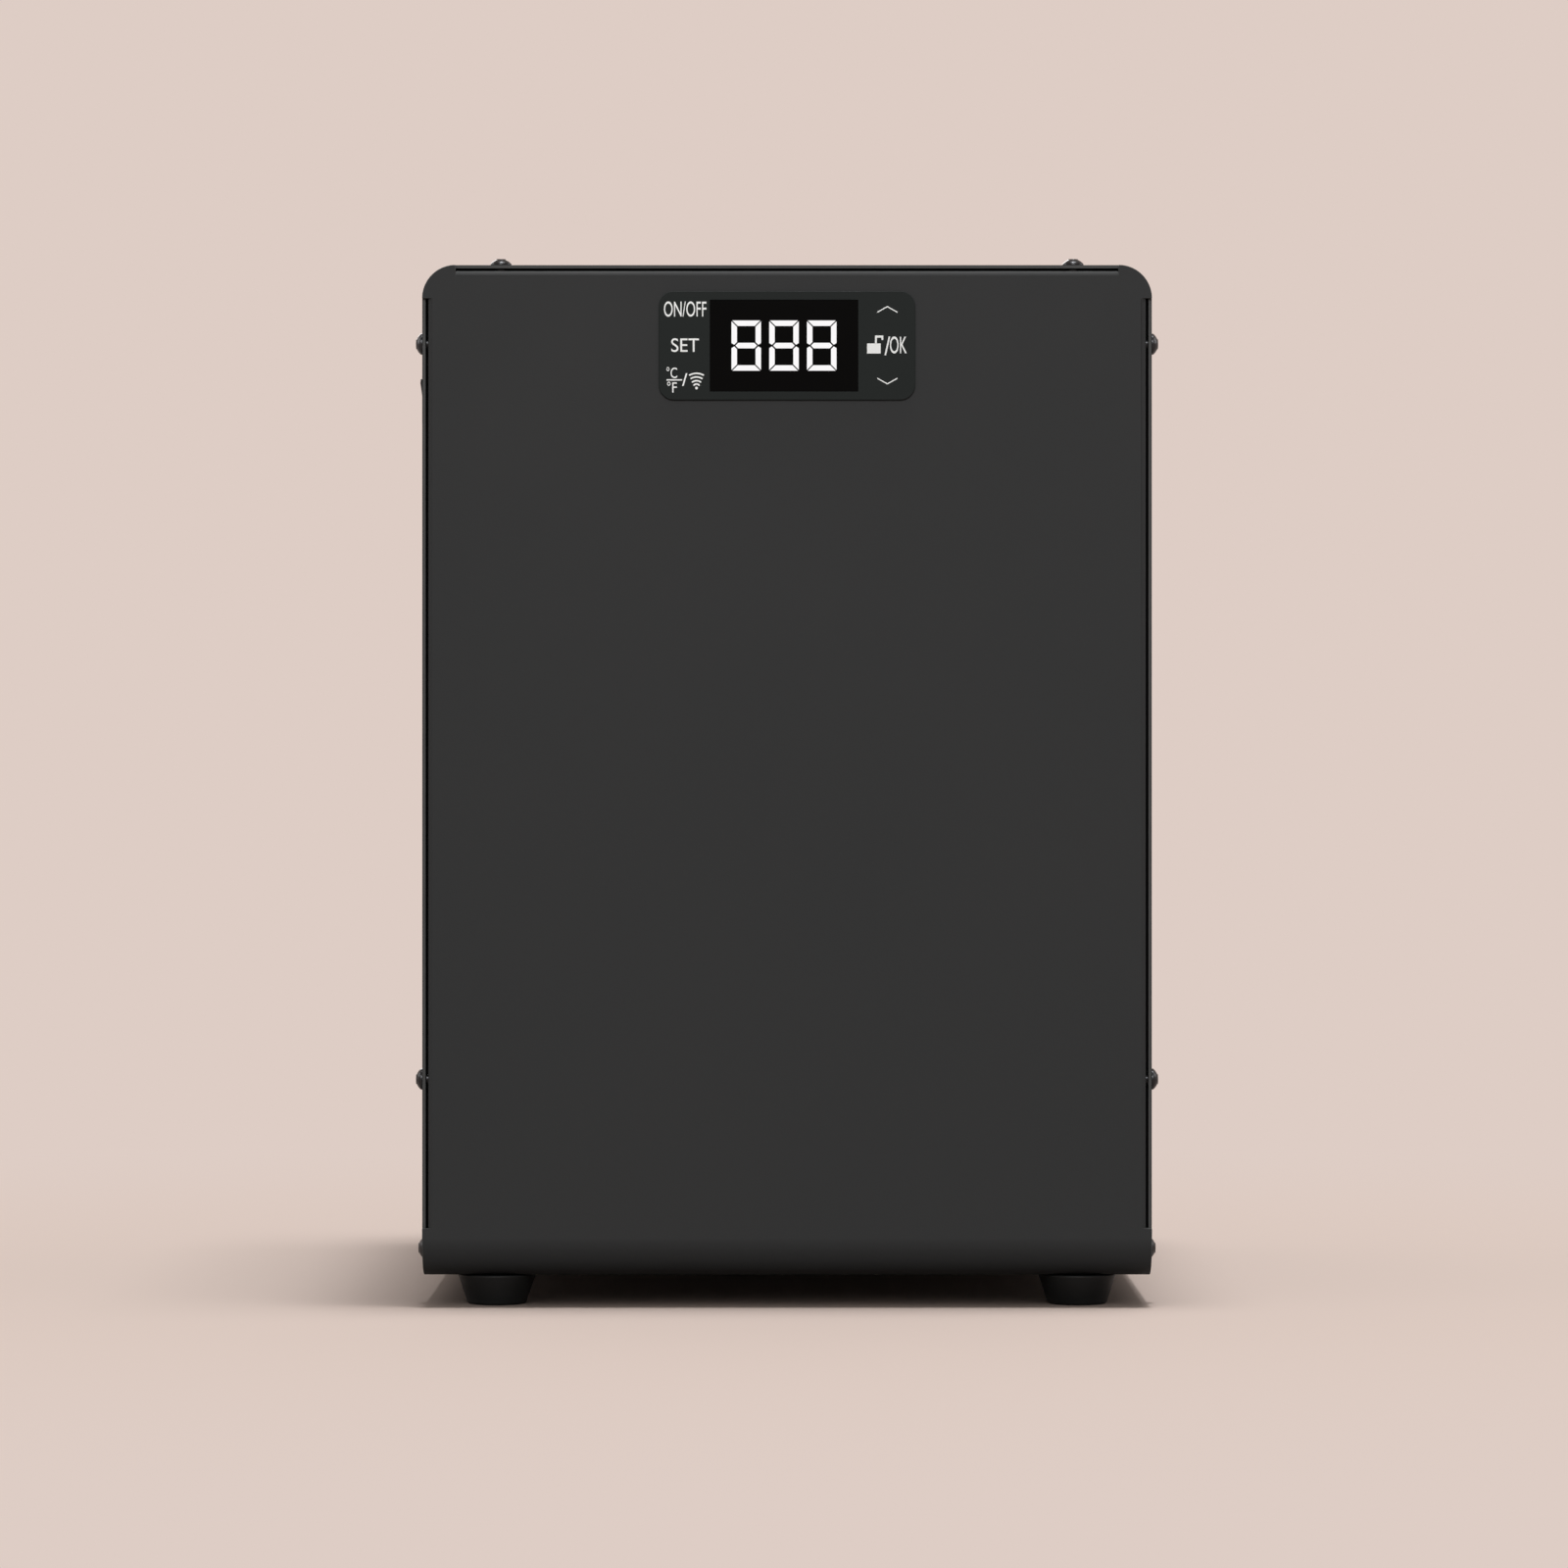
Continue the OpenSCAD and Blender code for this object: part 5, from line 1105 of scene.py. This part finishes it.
# %% Backdrop colour and floor
BACKDROP = (0.7305, 0.6105, 0.558, 1)
PAPER = (0.735, 0.612, 0.556, 1)
DIMMED_PAPER = (0.3, 0.25, 0.23, 1)
FLOOR_SIZE, FADE_STARTS, FADE_ENDS = 12, 0.25, 0.9


def seen_directly(tree):
    paths = add_node(tree, "ShaderNodeLightPath")
    either = add_node(tree, "ShaderNodeMath", {
        0: paths.outputs["Is Camera Ray"], 1: paths.outputs["Is Glossy Ray"]},
        operation="MAXIMUM")
    any_of_three = add_node(tree, "ShaderNodeMath", {
        0: either.outputs[0], 1: paths.outputs["Is Transmission Ray"]}, operation="MAXIMUM")
    return any_of_three.outputs[0]


bpy.ops.mesh.primitive_grid_add(
    x_subdivisions=8, y_subdivisions=8, size=FLOOR_SIZE, location=(0, 0, 0))
floor = bpy.context.object
floor.name = "studio_floor"
floor_paper, tree, shader, place = start_material(
    "floor_paper", Roughness=0.9, Specular_IOR_Level=0.1, Base_Color=PAPER)
paths = add_node(tree, "ShaderNodeLightPath")
dimmed = add_node(tree, "ShaderNodeBsdfDiffuse", {"Color": DIMMED_PAPER})
bounced = add_node(tree, "ShaderNodeMixShader", {0: paths.outputs["Is Diffuse Ray"]})
tree.links.new(shader.outputs[0], bounced.inputs[1])
tree.links.new(dimmed.outputs[0], bounced.inputs[2])
squeezed = add_node(tree, "ShaderNodeMapping", {"Vector": place, "Scale": (1.0, 1.3, 1.0)})
reach = add_node(tree, "ShaderNodeVectorMath", {0: squeezed.outputs[0]}, operation="LENGTH")
fade = add_node(tree, "ShaderNodeMapRange", {
    "Value": reach.outputs["Value"], "From Min": FADE_STARTS, "From Max": FADE_ENDS},
    interpolation_type="SMOOTHSTEP")
share = add_node(tree, "ShaderNodeMath", {0: fade.outputs[0], 1: seen_directly(tree)},
                 operation="MULTIPLY")
glow = add_node(tree, "ShaderNodeEmission", {"Color": BACKDROP, "Strength": 1.0})
blend = add_node(tree, "ShaderNodeMixShader", {0: share.outputs[0]})
tree.links.new(bounced.outputs[0], blend.inputs[1])
tree.links.new(glow.outputs[0], blend.inputs[2])
tree.links.new(blend.outputs[0], tree.nodes["Material Output"].inputs["Surface"])
floor.data.materials.append(floor_paper)
print("floor", floor.dimensions[:])

# %% [markdown]
# The sky is the room's faint warm light from all sides, which fills the shadows. Seen
# directly, it has the backdrop's colour.

# %% Sky around the stage
ROOM_LIGHT, ROOM_STRENGTH = (1.0, 0.965, 0.92, 1), 0.3
world = bpy.data.worlds.new("studio_world")
scene.world = world
world.use_nodes = True
tree = world.node_tree
lit = tree.nodes["Background"]
lit.inputs["Color"].default_value = ROOM_LIGHT
lit.inputs["Strength"].default_value = ROOM_STRENGTH
plain = add_node(tree, "ShaderNodeBackground", {"Color": BACKDROP, "Strength": 1.0})
either = add_node(tree, "ShaderNodeMixShader", {0: seen_directly(tree)})
tree.links.new(lit.outputs[0], either.inputs[1])
tree.links.new(plain.outputs[0], either.inputs[2])
tree.links.new(either.outputs[0], tree.nodes["World Output"].inputs["Surface"])
print("world ready")

# %% [markdown]
# Two soft boxes hang overhead, and the second is set off to the right, so the shadow
# falls short and soft to the left. A large one far in front and above the camera opens up
# the front sheet, and three weak ones fill the back and the sides. Light linking keeps
# all but the overhead pair off the floor, as flags on stands would.

# %% Lamps
FLOOR_MIDDLE, CABINET_MIDDLE = (0, 0, 0), (0, 0, 0.17)


def soft_box(name, place, target, size, power):
    bpy.ops.object.light_add(type="AREA", location=place)
    lamp = bpy.context.object
    lamp.name = name
    lamp.data.shape = "SQUARE"
    lamp.data.size = size
    lamp.data.energy = power
    aim = Vector(target) - Vector(place)
    lamp.rotation_euler = aim.to_track_quat("-Z", "Y").to_euler()
    return lamp


soft_box("overhead_box", (0.1, -0.15, 5), FLOOR_MIDDLE, size=0.9, power=122)
soft_box("side_box", (0.8, -0.15, 5), FLOOR_MIDDLE, size=1.3, power=56)
flagged_boxes = [
    soft_box("front_box", (0.0, -6.0, 3.6), CABINET_MIDDLE, size=2.4, power=262),
    soft_box("back_box", (-0.5, 2.3, 1.3), CABINET_MIDDLE, size=1.2, power=22),
    soft_box("left_box", (-2.3, 0.3, 1.2), CABINET_MIDDLE, size=1.2, power=16),
    soft_box("right_box", (2.3, 0.3, 1.2), CABINET_MIDDLE, size=1.2, power=16)]
left_out = bpy.data.collections.new("flagged_lamps_leave_out")
left_out.objects.link(floor)
left_out.collection_objects[0].light_linking.link_state = "EXCLUDE"
for lamp in flagged_boxes:
    lamp.light_linking.receiver_collection = left_out
